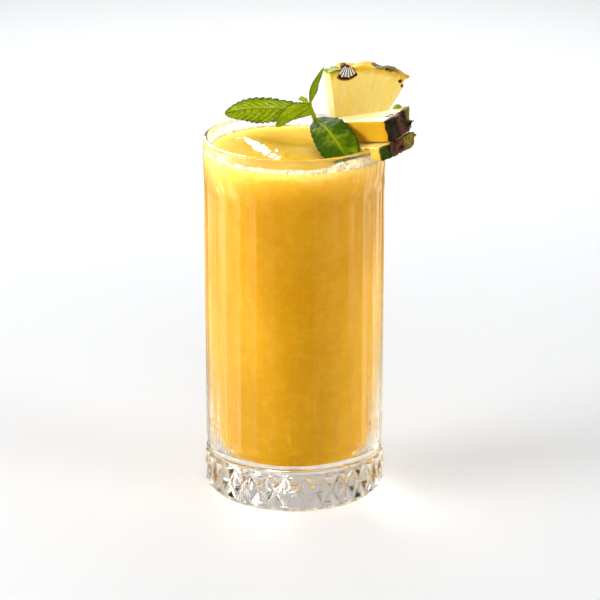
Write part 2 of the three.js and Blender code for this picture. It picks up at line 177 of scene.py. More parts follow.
FROTH = {
    "bubbles": 1100, "bubble_radius": (0.1, 0.34), "bubble_rise": 0.5, "bubble_spread": 0.5,
    "film_rise": 0.5, "front_rise": 1.9, "smear_azimuth": 42, "smear_rise": 3.0, "smear_width": 24,
    "foot": 0.22, "edge": 0.03, "into_glass": 0.06, "least_rise": 0.5,
    "columns": 720, "rows": 10, "bubble_sunk": 0.35, "fleck_sunk": 0.1,
}

# Flecks on the glass: tone, finish, and for each fleck its azimuth, height and radius

SPECKS = {
    "mint": ((0.03, 0.06, 0.004), "mint_leaf", (
        (36.4, 150, 0.42), (39, 148, 0.34), (42.5, 148.9, 0.3), (45.3, 147.2, 0.26), (40.7, 147.2, 0.24),
        (34.8, 148.4, 0.28), (31, 149.6, 0.24), (44, 151.2, 0.3), (-36, 150.6, 0.2), (-58, 150.9, 0.26),
    )),
    "fruit": ((0.22, 0.08, 0.012), "mango_smoothie", (
        (-66.1, 132.7, 0.4), (-7.5, 125.3, 0.24), (24.0, 88.0, 0.16), (-30.0, 104.0, 0.16),
    )),
}

# Mint leaves, in millimetres. A midrib runs from base to tip through two points that shape it, and
# the blade spreads along side, which turns from side_base to side_tip. The young value says how light a
# leaf is drawn: young growth on the bud, and painted light on the leaves that face the lamps.

LEAVES = {
    "left": {
        "midrib": ((7.5, 4, 162.6), (-5, 6, 163.8), (-18, 5.5, 164), (-28.8, 3.4, 162.6)),
        "side_base": (0.05, 0.93, 0.36), "side_tip": (0, 0.84, 0.54),
        "half_width": 8, "fullest": 0.5, "bluntness": 0.66, "fold": 0.14, "teeth": 15, "veins": 13,
        "saw": 0.13, "quilt": 0.8, "net": 0.6, "young": 0.74, "fineness": (221, 91),
    },
    "right": {
        "midrib": ((8.6, 3.8, 159.8), (13.4, -6.6, 158.6), (18.4, -16, 154), (23.6, -24.6, 148.2)),
        "side_base": (0.84, -0.5, 0.3), "side_tip": (0.96, 0.02, 0.1),
        "half_width": 8.3, "fullest": 0.62, "bluntness": 0.5, "fold": 0.05, "teeth": 11, "veins": 9,
        "saw": 0.08, "quilt": 0.4, "net": 0.35, "young": 0, "fineness": (201, 91),
    },
    "front": {
        "midrib": ((6.3, 2.6, 166.2), (1.8, -1.4, 166.4), (-3.4, -6, 163.9), (-7.4, -9, 160.4)),
        "side_base": (-0.5, 0.3, 0.8), "side_tip": (-0.6, 0.25, 0.75),
        "half_width": 3, "fullest": 0.45, "bluntness": 0.6, "fold": 0.3, "teeth": 10, "veins": 12,
        "saw": 0.2, "quilt": 0.7, "net": 0.5, "young": 0.8, "fineness": (161, 61),
    },
    "upright": {
        "midrib": ((6.5, 3.4, 166.8), (7.9, 4.2, 171.5), (9.8, 5.6, 176.5), (12.4, 7.8, 181.4)),
        "side_base": (0.95, 0.3, -0.2), "side_tip": (0.8, 0.3, -0.5),
        "half_width": 1.6, "fullest": 0.38, "bluntness": 1.1, "fold": 0.35, "teeth": 9, "veins": 9,
        "saw": 0.12, "quilt": 0.2, "net": 0.3, "young": 0.35, "fineness": (121, 41),
    },
    "bud": {
        "midrib": ((6.2, 3.2, 166.6), (5, 2.6, 168.4), (3.4, 2.2, 169.4), (1.6, 1.8, 169.2)),
        "side_base": (0.3, 0.8, 0.4), "side_tip": (0.3, 0.8, 0.4),
        "half_width": 1.5, "fullest": 0.45, "bluntness": 0.8, "fold": 0.3, "teeth": 5, "veins": 6,
        "saw": 0.2, "quilt": 0.2, "net": 0.3, "young": 0.9, "fineness": (81, 41),
    },
}
BLADE = {"half_thickness": 0.14, "edge": 0.12, "rib_width": 0.06, "rib_depth": 0.12, "vein_width": 0.13}

# The stem is rounded square, with a swelling where the leaves start

STEM = {
    "radius": 0.8, "square": 0.1, "swelling": 0.25, "swelling_at": 0.12, "swelling_reach": 0.05,
    "rings": 60, "sides": 20,
    "route": ((6.2, 3.4, 167.5), (6.6, 3.4, 165.5), (8.4, 4, 160.5), (9.4, 5, 154), (10, 6, 146)),
}


# Settings that a user would change

def length(name, description, millimetres):
    return FloatProperty(
        name=name, description=description, default=millimetres * MM, min=0, precision=5, unit="LENGTH",
    )


def colour(name, description, default):
    return FloatVectorProperty(
        name=name, description=description, default=default, size=3, min=0, max=1, subtype="COLOR",
    )


class TumblerSettings(bpy.types.PropertyGroup):
    height: length("Height", "From the table to the lip", 154)
    rim_radius: length("Rim radius", "Plain band under the lip", 38)
    rim_inner: length("Inner rim radius", "Inside of the wall at the lip", 35.5)
    lip: length("Lip", "Radius of the rounded lip", 1.2)
    flute_radius: length("Flute radius", "Over the ridges between the flat flutes", 37.75)
    flute_top: length("Flute top", "Height where the flutes have faded out", 140)
    flute_bottom: length("Flute bottom", "Height where the flutes end", 24.6)
    flutes: IntProperty(name="Flutes", description="Flat flutes round the body", default=30, min=8)
    flute_hollow: length("Flute hollow", "How far a flute's middle lies under its flat chord", 0.14)
    scallop: length("Scallop", "Drop of each flute's rounded foot", 1.1)
    waist_radius: length("Waist radius", "Clear collar between body and base", 37.2)
    waist_height: length("Waist height", "Middle of the clear collar", 20.4)
    cut_valley: length("Cut valley", "Radius at the grooves between the cut diamonds", 36.8)
    cut_depth: length("Cut depth", "How far the diamonds' points stand out of the grooves", 1.4)
    cut_bottom: length("Cut bottom", "Lower edge of the band of diamonds", 3)
    cut_top: length("Cut top", "Upper edge of the band of diamonds", 16)
    foot_radius: length("Foot radius", "Flat underside", 35.6)
    wall_bottom_radius: length("Lower inner radius", "Inside radius over the floor's rounded corner", 22.3)
    wall_bottom_height: length("Corner height", "Height where that corner starts", 25)
    floor_height: length("Floor height", "Thickness of the glass floor", 16.5)
    foot_rounding: length("Foot rounding", "Rounded edge of the underside", 1.6)
    # Thick glass: partly its own tint, partly painted reflection of the drink in the base and painted shade
    # on the lip
    thick_tint_and_reflection: colour("Thick glass", "Tint of the base and the lip", (0.87, 0.82, 0.755))
    thin_tint: colour("Thin glass", "Tint of the wall", (0.955, 0.94, 0.915))
    shade_tint: colour("Glass shade", "Lamp light that each surface lets through", (0.83, 0.82, 0.80))


class DrinkSettings(bpy.types.PropertyGroup):
    contact_height: length("Fill height", "Mean height where the smoothie meets the glass", 148.1)
    contact_tilt: length("Tilt", "How much higher it stands at the back left", 0.9)
    contact_azimuth: FloatProperty(
        name="Tilt direction", description="Direction in which it stands highest",
        default=math.radians(140), subtype="ANGLE",
    )
    dome: length("Dome", "How far its middle stands above its edge", 1.2)
    bite: length("Bite", "How far it reaches into the glass wall, so that no air gap shows", 0.15)
    light: colour("Light mango", "Paler drifts of the smoothie against the glass", (0.60, 0.318, 0.011))
    deep: colour("Deep mango", "Deeper drifts of the smoothie against the glass", (0.55, 0.276, 0.006))
    low: colour("Low mango", "The smoothie near the foot of the glass", (0.40, 0.208, 0.006))
    # The open top's colours also carry painted light towards its left and painted shade in its hollow
    open_light_and_lit: colour("Open light mango", "Paler drifts of the open top", (0.93, 0.60, 0.085))
    open_deep_and_shaded: colour("Open deep mango", "Hollows of the open top", (0.78, 0.42, 0.008))
    pulp: colour("Pulp", "Fine pulp all through the smoothie", (1.0, 0.72, 0.12))
    froth: colour("Froth", "Thin foam where the smoothie meets the glass", (0.93, 0.76, 0.34))
    film_dark: colour("Dark film", "Thin places of the froth's film", (0.60, 0.46, 0.24))
    film_light: colour("Light film", "Froth's film on the glass, and its bubbles", (0.95, 0.84, 0.58))


class FruitSettings(bpy.types.PropertyGroup):
    flesh: colour("Flesh", "Ripe cut pineapple in its deepest gold", (0.64, 0.335, 0.006))
    flesh_yellow: colour("Yellow flesh", "Most of the back wedge", (0.97, 0.72, 0.15))
    # Pale flesh also stands for painted light on the upturned faces and the far cut
    flesh_pale: colour("Pale flesh", "Fibres, cut tops and the pale core", (0.97, 0.86, 0.46))
    # Dark leaf is partly the veins' own colour, partly painted shade in the hollows between bulges
    leaf_dark: colour("Dark leaf", "Veins and hollows of the mint", (0.03, 0.065, 0.0004))
    leaf: colour("Leaf", "Mint blade", (0.048, 0.098, 0.0004))
    # Light leaf is also painted light, on the leaves facing the lamps and on what bulges most
    leaf_light: colour("Light leaf", "Young growth and what bulges most", (0.50, 0.60, 0.010))


# Small helpers

def smoothstep(low, high, value):
    share = np.clip((np.asarray(value, float) - low) / (high - low), 0, 1)
    return share * share * (3 - 2 * share)


def bump_of(distance, reach):
    return np.exp(-((distance / reach) ** 2))


def lattice_noise(points, scale, seed):
    """Smooth noise from -1 to 1 at each point, from random values on a grid of the given pitch."""
    generator = np.random.default_rng(seed)
    table = generator.uniform(-1, 1, (32, 32, 32))
    place = np.asarray(points, float) / scale
    cell = np.floor(place).astype(int)
    share = place - cell
    share = share * share * (3 - 2 * share)
    total = np.zeros(len(place))
    for corner in range(8):
        step = np.array([corner & 1, corner >> 1 & 1, corner >> 2 & 1])
        weight = np.prod(np.where(step, share, 1 - share), axis=1)
        x, y, z = ((cell + step) % 32).T
        total += weight * table[x, y, z]
    return total


def new_object(name, vertices, faces, smooth=True):
    mesh = bpy.data.meshes.new(name)
    mesh.from_pydata([tuple(v) for v in vertices], [], [tuple(int(i) for i in f) for f in faces])
    return linked(name, mesh, smooth)


def linked(name, data, smooth=True):
    """Puts a mesh, lamp or camera in the scene. With smooth at None a mesh keeps its shading."""
    if isinstance(data, bpy.types.Mesh) and smooth is not None:
        data.polygons.foreach_set("use_smooth", np.full(len(data.polygons), smooth))
        data.update()
    made = bpy.data.objects.new(name, data)
    bpy.context.scene.collection.objects.link(made)
    return made


def tidy_mesh(mesh, distance=1e-7):
    """Merges doubles, drops slivers and turns every face outwards."""
    shape = bmesh.new()
    shape.from_mesh(mesh)
    bmesh.ops.remove_doubles(shape, verts=shape.verts, dist=distance)
    bmesh.ops.dissolve_degenerate(shape, edges=shape.edges, dist=distance)
    bmesh.ops.recalc_face_normals(shape, faces=shape.faces)
    shape.to_mesh(mesh)
    shape.free()
    mesh.update()


def coordinates(mesh):
    places = np.empty(len(mesh.vertices) * 3, np.float32)
    mesh.vertices.foreach_get("co", places)
    return places.reshape(-1, 3).astype(float)


def set_coordinates(mesh, places):
    mesh.vertices.foreach_set("co", np.asarray(places, np.float32).ravel())
    mesh.update()


def vertex_normals(mesh):
    normals = np.empty(len(mesh.vertices) * 3, np.float32)
    mesh.vertices.foreach_get("normal", normals)
    return normals.reshape(-1, 3).astype(float)


def store(mesh, **marks):
    """Keeps a number or a vector for each vertex under each name, for the materials to read."""
    for name, values in marks.items():
        values = np.asarray(values, np.float32)
        if values.ndim == 0:
            values = np.full(len(mesh.vertices), values)
        kind, key = ("FLOAT", "value") if values.ndim == 1 else ("FLOAT_VECTOR", "vector")
        attribute = mesh.attributes.new(name, kind, "POINT")
        attribute.data.foreach_set(key, values.ravel())


def ring_faces(columns, lower, upper):
    """Faces between two closed rings of vertices, each given by the number of its first vertex."""
    pairs = [(step, (step + 1) % columns) for step in range(columns)]
    return [(lower + here, lower + after, upper + after, upper + here) for here, after in pairs]


def baked(piece, name, smooth=True):
    """A plain mesh object of what a piece and its modifiers make; the piece itself is removed."""
    graph = bpy.context.evaluated_depsgraph_get()
    mesh = bpy.data.meshes.new_from_object(piece.evaluated_get(graph))
    bpy.data.objects.remove(piece)
    mesh.name = name
    return linked(name, mesh, smooth)


def settle(piece, slot, *nodes):
    """Puts a finished piece on the body and hides the CAD nodes it stands for. The slot is not used."""
    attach(piece, "root")
    if nodes:
        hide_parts(*nodes)
    return piece


# Node trees

class Graph:
    """Adds nodes to one tree. A value given for a socket is either a number or another socket."""

    def __init__(self, tree):
        self.tree = tree

    def add(self, kind, sockets=None, **settings):
        node = self.tree.nodes.new(kind)
        for name, value in settings.items():
            setattr(node, name, value)
        return self.feed(node, sockets or {})

    def feed(self, node, sockets):
        for key, value in sockets.items():
            if isinstance(value, bpy.types.NodeSocket):
                self.tree.links.new(value, node.inputs[key])
            else:
                node.inputs[key].default_value = value
        return node

    def math(self, operation, *values, clamp=False):
        sockets = dict(enumerate(values))
        return self.add("ShaderNodeMath", sockets, operation=operation, use_clamp=clamp).outputs[0]

    def ramp(self, low, high, value, smooth=True, to=(0, 1)):
        """The first number of to at low and past it, the second at high and past it."""
        kind = "SMOOTHSTEP" if smooth else "LINEAR"
        sockets = {"Value": value, "From Min": low, "From Max": high, "To Min": to[0], "To Max": to[1]}
        return self.add("ShaderNodeMapRange", sockets, interpolation_type=kind).outputs["Result"]

    def mix(self, share, first, second, blend="MIX"):
        """Mixes two colours, each given as a socket or as three numbers."""
        sockets = {0: share}
        for key, value in ((6, first), (7, second)):
            sockets[key] = value if isinstance(value, bpy.types.NodeSocket) else (*value, 1)
        node = self.add("ShaderNodeMix", data_type="RGBA", blend_type=blend)
        return self.feed(node, sockets).outputs[2]

    def blend(self, share, first, second):
        """Mixes two numbers."""
        return self.add("ShaderNodeMix", {0: share, 2: first, 3: second}).outputs[0]

    def parts(self, vector):
        return self.add("ShaderNodeSeparateXYZ", {0: vector}).outputs

    def attributes(self, *names):
        return [self.add("ShaderNodeAttribute", attribute_name=name).outputs["Fac"] for name in names]

    def bump(self, height, strength, distance, normal=None):
        sockets = {"Height": height, "Strength": strength, "Distance": distance}
        if normal:
            sockets["Normal"] = normal
        return self.add("ShaderNodeBump", sockets).outputs[0]

    def noise(self, vector, scale, detail=2, roughness=0.5):
        sockets = {"Vector": vector, "Scale": scale, "Detail": detail, "Roughness": roughness}
        return self.add("ShaderNodeTexNoise", sockets).outputs["Fac"]

    def stretched(self, vector, scale):
        return self.add("ShaderNodeMapping", {"Vector": vector, "Scale": scale}).outputs[0]

    def named(self, name):
        """A number kept for each point of a geometry."""
        node = self.add("GeometryNodeInputNamedAttribute", {"Name": name}, data_type="FLOAT")
        return node.outputs["Attribute"]

    def scattered(self, points, instance, rotation, scale):
        return self.add("GeometryNodeInstanceOnPoints", {
            "Points": points, "Instance": instance, "Rotation": rotation, "Scale": scale,
        }).outputs[0]

    def finish(self, geometry, material):
        """Ends a geometry tree with real faces that have a material."""
        real = self.add("GeometryNodeRealizeInstances", {"Geometry": geometry}).outputs[0]
        coated = self.add("GeometryNodeSetMaterial", {"Geometry": real, "Material": material}).outputs[0]
        self.add("NodeGroupOutput", {"Geometry": coated})
        return self.tree


def group_input(tree, name, kind, default=None):
    socket = tree.interface.new_socket(name, in_out="INPUT", socket_type=kind)
    if default is not None:
        socket.default_value = default


def geometry_graph(name, inputs):
    """The graph of a new geometry tree, and its inputs: geometry, these numbers and a material."""
    tree = bpy.data.node_groups.new(name, "GeometryNodeTree")
    group_input(tree, "Geometry", "NodeSocketGeometry")
    for key, value in inputs.items():
        group_input(tree, key, "NodeSocketInt" if isinstance(value, int) else "NodeSocketFloat", value)
    group_input(tree, "Material", "NodeSocketMaterial")
    tree.interface.new_socket("Geometry", in_out="OUTPUT", socket_type="NodeSocketGeometry")
    graph = Graph(tree)
    return graph, graph.add("NodeGroupInput").outputs


def new_material(name):
    material = bpy.data.materials.new(name)
    material.use_nodes = True
    material.node_tree.nodes.clear()
    graph = Graph(material.node_tree)
    shader = graph.add("ShaderNodeBsdfPrincipled")
    output = graph.add("ShaderNodeOutputMaterial", {"Surface": shader.outputs[0]})
    return material, graph, shader, output


def object_place(graph):
    return graph.add("ShaderNodeTexCoord").outputs["Object"]


def mottle_tree():
    """Uneven natural matter: broad and fine noise together, as a height and as a mask of patches."""
    tree = bpy.data.node_groups.new("Mottle", "ShaderNodeTree")
    group_input(tree, "Vector", "NodeSocketVector")
    defaults = {"Broad Scale": 130, "Fine Scale": 700, "Fine Share": 0.5, "Low": 0.4, "High": 0.65}
    for name, value in defaults.items():
        group_input(tree, name, "NodeSocketFloat", value)
    for name in ("Height", "Mask"):
        tree.interface.new_socket(name, in_out="OUTPUT", socket_type="NodeSocketFloat")
    g = Graph(tree)
    given = g.add("NodeGroupInput").outputs
    broad = g.noise(given["Vector"], given["Broad Scale"], 2)
    fine = g.noise(given["Vector"], given["Fine Scale"], 3, 0.6)
    height = g.blend(given["Fine Share"], broad, fine)
    g.add("NodeGroupOutput", {"Height": height, "Mask": g.ramp(given["Low"], given["High"], height)})
    return tree


def mottle(graph, vector, broad, fine, share, low, high):
    tree = bpy.data.node_groups.get("Mottle") or mottle_tree()
    node = graph.add("ShaderNodeGroup", node_tree=tree)
    return graph.feed(node, {
        "Vector": vector, "Broad Scale": broad, "Fine Scale": fine, "Fine Share": share,
        "Low": low, "High": high,
    }).outputs


def cut_lines(graph, place, t):
    """1 along the crossing grooves between the cut diamonds, 0 elsewhere."""
    x, y, z = graph.parts(place)
    turn = graph.math("ARCTAN2", x, graph.math("MULTIPLY", y, -1))
    flute = graph.math("FRACT", graph.math("MULTIPLY_ADD", turn, t.flutes / (2 * math.pi), t.flutes))
    along = graph.math("ABSOLUTE", graph.math("MULTIPLY_ADD", flute, 2, -1))
    half_band, middle = (t.cut_top - t.cut_bottom) / 2, (t.cut_top + t.cut_bottom) / 2
    up = graph.math("ABSOLUTE", graph.math("MULTIPLY_ADD", z, 1 / half_band, -middle / half_band))
    lattice = graph.math("ABSOLUTE", graph.math("SUBTRACT", 1, graph.math("ADD", along, up)))
    return graph.math("MULTIPLY", graph.ramp(0.1, 0, lattice), graph.ramp(1.15, 1, up))


def glass_material(t):
    """Clear pressed glass with upright draw lines and a warm thick base; lamps reach through it."""
    material, graph, shader, output = new_material("clear_glass")
    place = object_place(graph)
    height = graph.parts(place)[2]
    # Base and lip get the thick tint: partly glass tint, partly painted reflection of the drink and painted
    # shade
    over_floor = graph.ramp(t.floor_height, t.floor_height + 5.5 * MM, height)
    under_lip = graph.ramp(t.height - 0.6 * MM, t.height - 1.8 * MM, height)
    thin = graph.math("MULTIPLY", over_floor, under_lip)
    haze = graph.ramp(0, 1, graph.noise(place, 300, 2), smooth=False, to=(0, 0.03))
    lines = mottle(graph, graph.stretched(place, (1, 1, 0.02)), 230, 950, 0.55, 0.4, 0.6)
    drawn = graph.math("MULTIPLY", lines["Height"], graph.ramp(t.flute_top, 40 * MM, height))
    drawn = graph.math("MULTIPLY", drawn, graph.ramp(20 * MM, 27 * MM, height))
    waves = graph.bump(drawn, 0.4, 0.9 * MM)
    graph.feed(shader, {
        "Base Color": graph.mix(thin, t.thick_tint_and_reflection, t.thin_tint), "Roughness": haze,
        "IOR": 1.5, "Transmission Weight": 1,
        "Normal": graph.bump(cut_lines(graph, place, t), 0.4, 0.3 * MM, waves),
    })
    clear = graph.add("ShaderNodeBsdfTransparent", {"Color": (*t.shade_tint, 1)})
    shadow = graph.add("ShaderNodeLightPath").outputs["Is Shadow Ray"]
    through = graph.add("ShaderNodeMixShader", {0: shadow, 1: shader.outputs[0], 2: clear.outputs[0]})
    graph.feed(output, {"Surface": through.outputs[0]})
    return material


def smoothie_material(drink):
    """Thick mango puree: deep and dull against the glass, paler and wet on its open top, with pulp."""
    material, graph, shader, _ = new_material("mango_smoothie")
    place = object_place(graph)
    opened, rising, cream, pale = graph.attributes("open", "rising", "cream", "pale")
    drift = graph.ramp(0.35, 0.65, graph.noise(place, 28, 2))
    pulp = mottle(graph, place, 260, 1100, 0.5, 0.44, 0.62)
    against = graph.mix(drift, drink.deep, drink.light)
    low = graph.math("MULTIPLY", graph.ramp(95 * MM, 30 * MM, graph.parts(place)[2]), 0.75)
    against = graph.mix(low, against, drink.low)
    # The pale mark holds painted light towards the left and painted shade in the hollow by the fold
    above = graph.mix(pale, drink.open_deep_and_shaded, drink.open_light_and_lit)
    body = graph.mix(rising, against, above)
    creamy = graph.math("MULTIPLY", cream, graph.ramp(0.3, 0.6, pulp["Height"]))
    body = graph.mix(creamy, body, drink.froth)
    body = graph.mix(graph.math("MULTIPLY", pulp["Mask"], 0.08), body, drink.pulp)
    graph.feed(shader, {
        "Base Color": body, "Roughness": 0.45, "Specular IOR Level": 0,
        "Coat Weight": graph.math("MULTIPLY", opened, 0.2), "Coat Roughness": 0.13,
        "Subsurface Weight": 0.6, "Subsurface Radius": (1.0, 0.4, 0.08), "Subsurface Scale": 0.006,
        "Normal": graph.bump(pulp["Height"], 0.6, 0.9 * MM),
    })
    return material


def pineapple_material(fruit):
    """Moist cut flesh with radial fibres, pale in places, with painted light on top, and a rough scaly rind.
    """
    material, graph, shader, _ = new_material("pineapple")
    local, scales = (
        graph.add("ShaderNodeAttribute", attribute_name=name).outputs["Vector"]
        for name in ("fruit", "scales")
    )
    skin, pale, crust = graph.attributes("rind", "pale", "crust")
    fibres = mottle(graph, graph.stretched(local, (0.2, 1, 1)), 0.36, 1.2, 0.45, 0.36, 0.66)
    cells = mottle(graph, local, 0.45, 1.3, 0.5, 0.4, 0.62)
    grain = graph.blend(0.35, fibres["Mask"], cells["Mask"])
    contrast = graph.math("MULTIPLY_ADD", pale, 0.36, 0.06)
    share = graph.math("MULTIPLY_ADD", graph.math("SUBTRACT", grain, 0.5), contrast, pale)
    flesh = graph.mix(graph.ramp(0, 0.5, share, smooth=False), fruit.flesh, fruit.flesh_yellow)
    flesh = graph.mix(graph.ramp(0.5, 1, share, smooth=False), flesh, fruit.flesh_pale)
    shade = graph.math("MULTIPLY", graph.math("SUBTRACT", 1, cells["Mask"]), crust)
    rind = graph.mix(shade, scales, graph.mix(1, scales, (0.3, 0.26, 0.3), "MULTIPLY"))
    uneven = graph.blend(skin, fibres["Height"], cells["Height"])
    graph.feed(shader, {
        "Base Color": graph.mix(skin, flesh, rind), "Roughness": graph.math("MULTIPLY_ADD", skin, 0.4, 0.36),
        "Specular IOR Level": 0.15, "Subsurface Weight": 0.3, "Subsurface Radius": (1.0, 0.6, 0.15),
        "Subsurface Scale": 0.003, "Normal": graph.bump(uneven, 0.3, 0.6 * MM),
    })
    return material


def mint_material(fruit):
    """Fresh leaf: dark in its net of veins, partly painted shade; painted light on raised parts; a pale
    midrib.
    """
    material, graph, shader, _ = new_material("mint_leaf")
    raised, rib, young = graph.attributes("raised", "rib", "young")
    tissue = mottle(graph, object_place(graph), 130, 450, 0.35, 0.45, 0.66)
    # Darker in the veins and hollows: partly their own colour, partly painted shade
    share = graph.ramp(0.25, 0.85, graph.blend(0.45, raised, tissue["Height"]))
    body = graph.mix(share, fruit.leaf_dark, fruit.leaf)
    # Painted light on the raised parts, strongest on young growth and on leaves facing the lamps
    lit = graph.math("MULTIPLY_ADD", tissue["Mask"], 0.3, young, clamp=True)
    body = graph.mix(graph.math("MULTIPLY", lit, graph.ramp(0.1, 0.8, raised)), body, fruit.leaf_light)
    body = graph.mix(graph.math("MULTIPLY", rib, 0.6), body, fruit.leaf_light)
    graph.feed(shader, {
        "Base Color": body, "Roughness": graph.math("MULTIPLY_ADD", young, -0.36, 0.74),
        "Specular IOR Level": 0.05, "Subsurface Weight": 0.1, "Subsurface Radius": (0.4, 1.0, 0.1),
        "Subsurface Scale": 0.001, "Normal": graph.bump(tissue["Height"], 0.5, 0.4 * MM),
    })
    return material


# Tumbler

def wall_inner_radius(t, height):
    share = (height - t.wall_bottom_height) / (t.height - t.wall_bottom_height)
    return t.wall_bottom_radius + share * (t.rim_inner - t.wall_bottom_radius)


def floor_corner(t, share):
    """Radius and height on the rounded corner over the floor: 0 at the wall, 1 at the floor."""
    reach, turn = t.wall_bottom_height - t.floor_height, math.pi / 2 * share
    return t.wall_bottom_radius - reach * (1 - math.cos(turn)), t.wall_bottom_height - reach * math.sin(turn)


def tumbler_profile(t):
    """Radius, height and relief of each row, from the middle of the underside round to the floor."""
    flat = t.foot_radius - t.foot_rounding
    rows = [(0, 0, 0), (t.foot_radius * 0.5, 0, 0), (flat, 0, 0)]
    for step in range(1, PROFILE_ROWS["foot"] + 1):
        turn = math.pi / 2 * step / PROFILE_ROWS["foot"]
        rows.append((flat + t.foot_rounding * math.sin(turn), 0.5 * MM * (1 - math.cos(turn)), 0))
    for height in np.linspace(1.5 * MM, t.cut_top + 1.6 * MM, PROFILE_ROWS["cuts"]):
        rows.append((t.cut_valley, height, 1))
    feet = t.flute_bottom - t.scallop
    for height in np.linspace(t.cut_top + 2.2 * MM, feet - 0.4 * MM, PROFILE_ROWS["collar"]):
        sag = ((height - t.waist_height) / (3 * MM)) ** 2
        rows.append((t.waist_radius + min(sag, 1) * 0.3 * MM, height, 0))
    fade_start, fade_end = t.flute_top - 8 * MM, t.flute_top + 4 * MM
    lower = np.linspace(feet, t.flute_bottom + 1.6 * MM, PROFILE_ROWS["flute_feet"])
    upper = np.linspace(t.flute_bottom + 4 * MM, fade_start - 1 * MM, PROFILE_ROWS["flutes"])
    for height in (*lower, *upper):
        rows.append((t.flute_radius, height, 1))
    for height in np.linspace(fade_start, fade_end, PROFILE_ROWS["fade"]):
        swell = float(smoothstep(fade_start, fade_end, height))
        rows.append((t.flute_radius + swell * (t.rim_radius - t.flute_radius), height, 1))
    centre = t.height - t.lip
    rows.append((t.rim_radius, centre - 2 * MM, 0))
    middle, half = (t.rim_radius + t.rim_inner) / 2, (t.rim_radius - t.rim_inner) / 2
    for step in range(PROFILE_ROWS["lip"] + 1):
        turn = math.pi * step / PROFILE_ROWS["lip"]
        rows.append((middle + half * math.cos(turn), centre + t.lip * math.sin(turn), 0))
    for height in np.linspace(centre - 1.5 * MM, t.wall_bottom_height + 2 * MM, PROFILE_ROWS["wall"]):
        rows.append((wall_inner_radius(t, height), height, 0))
    for step in range(PROFILE_ROWS["corner"] + 1):
        rows.append((*floor_corner(t, step / PROFILE_ROWS["corner"]), 0))
    rows.append((0, t.floor_height, 0))
    return rows


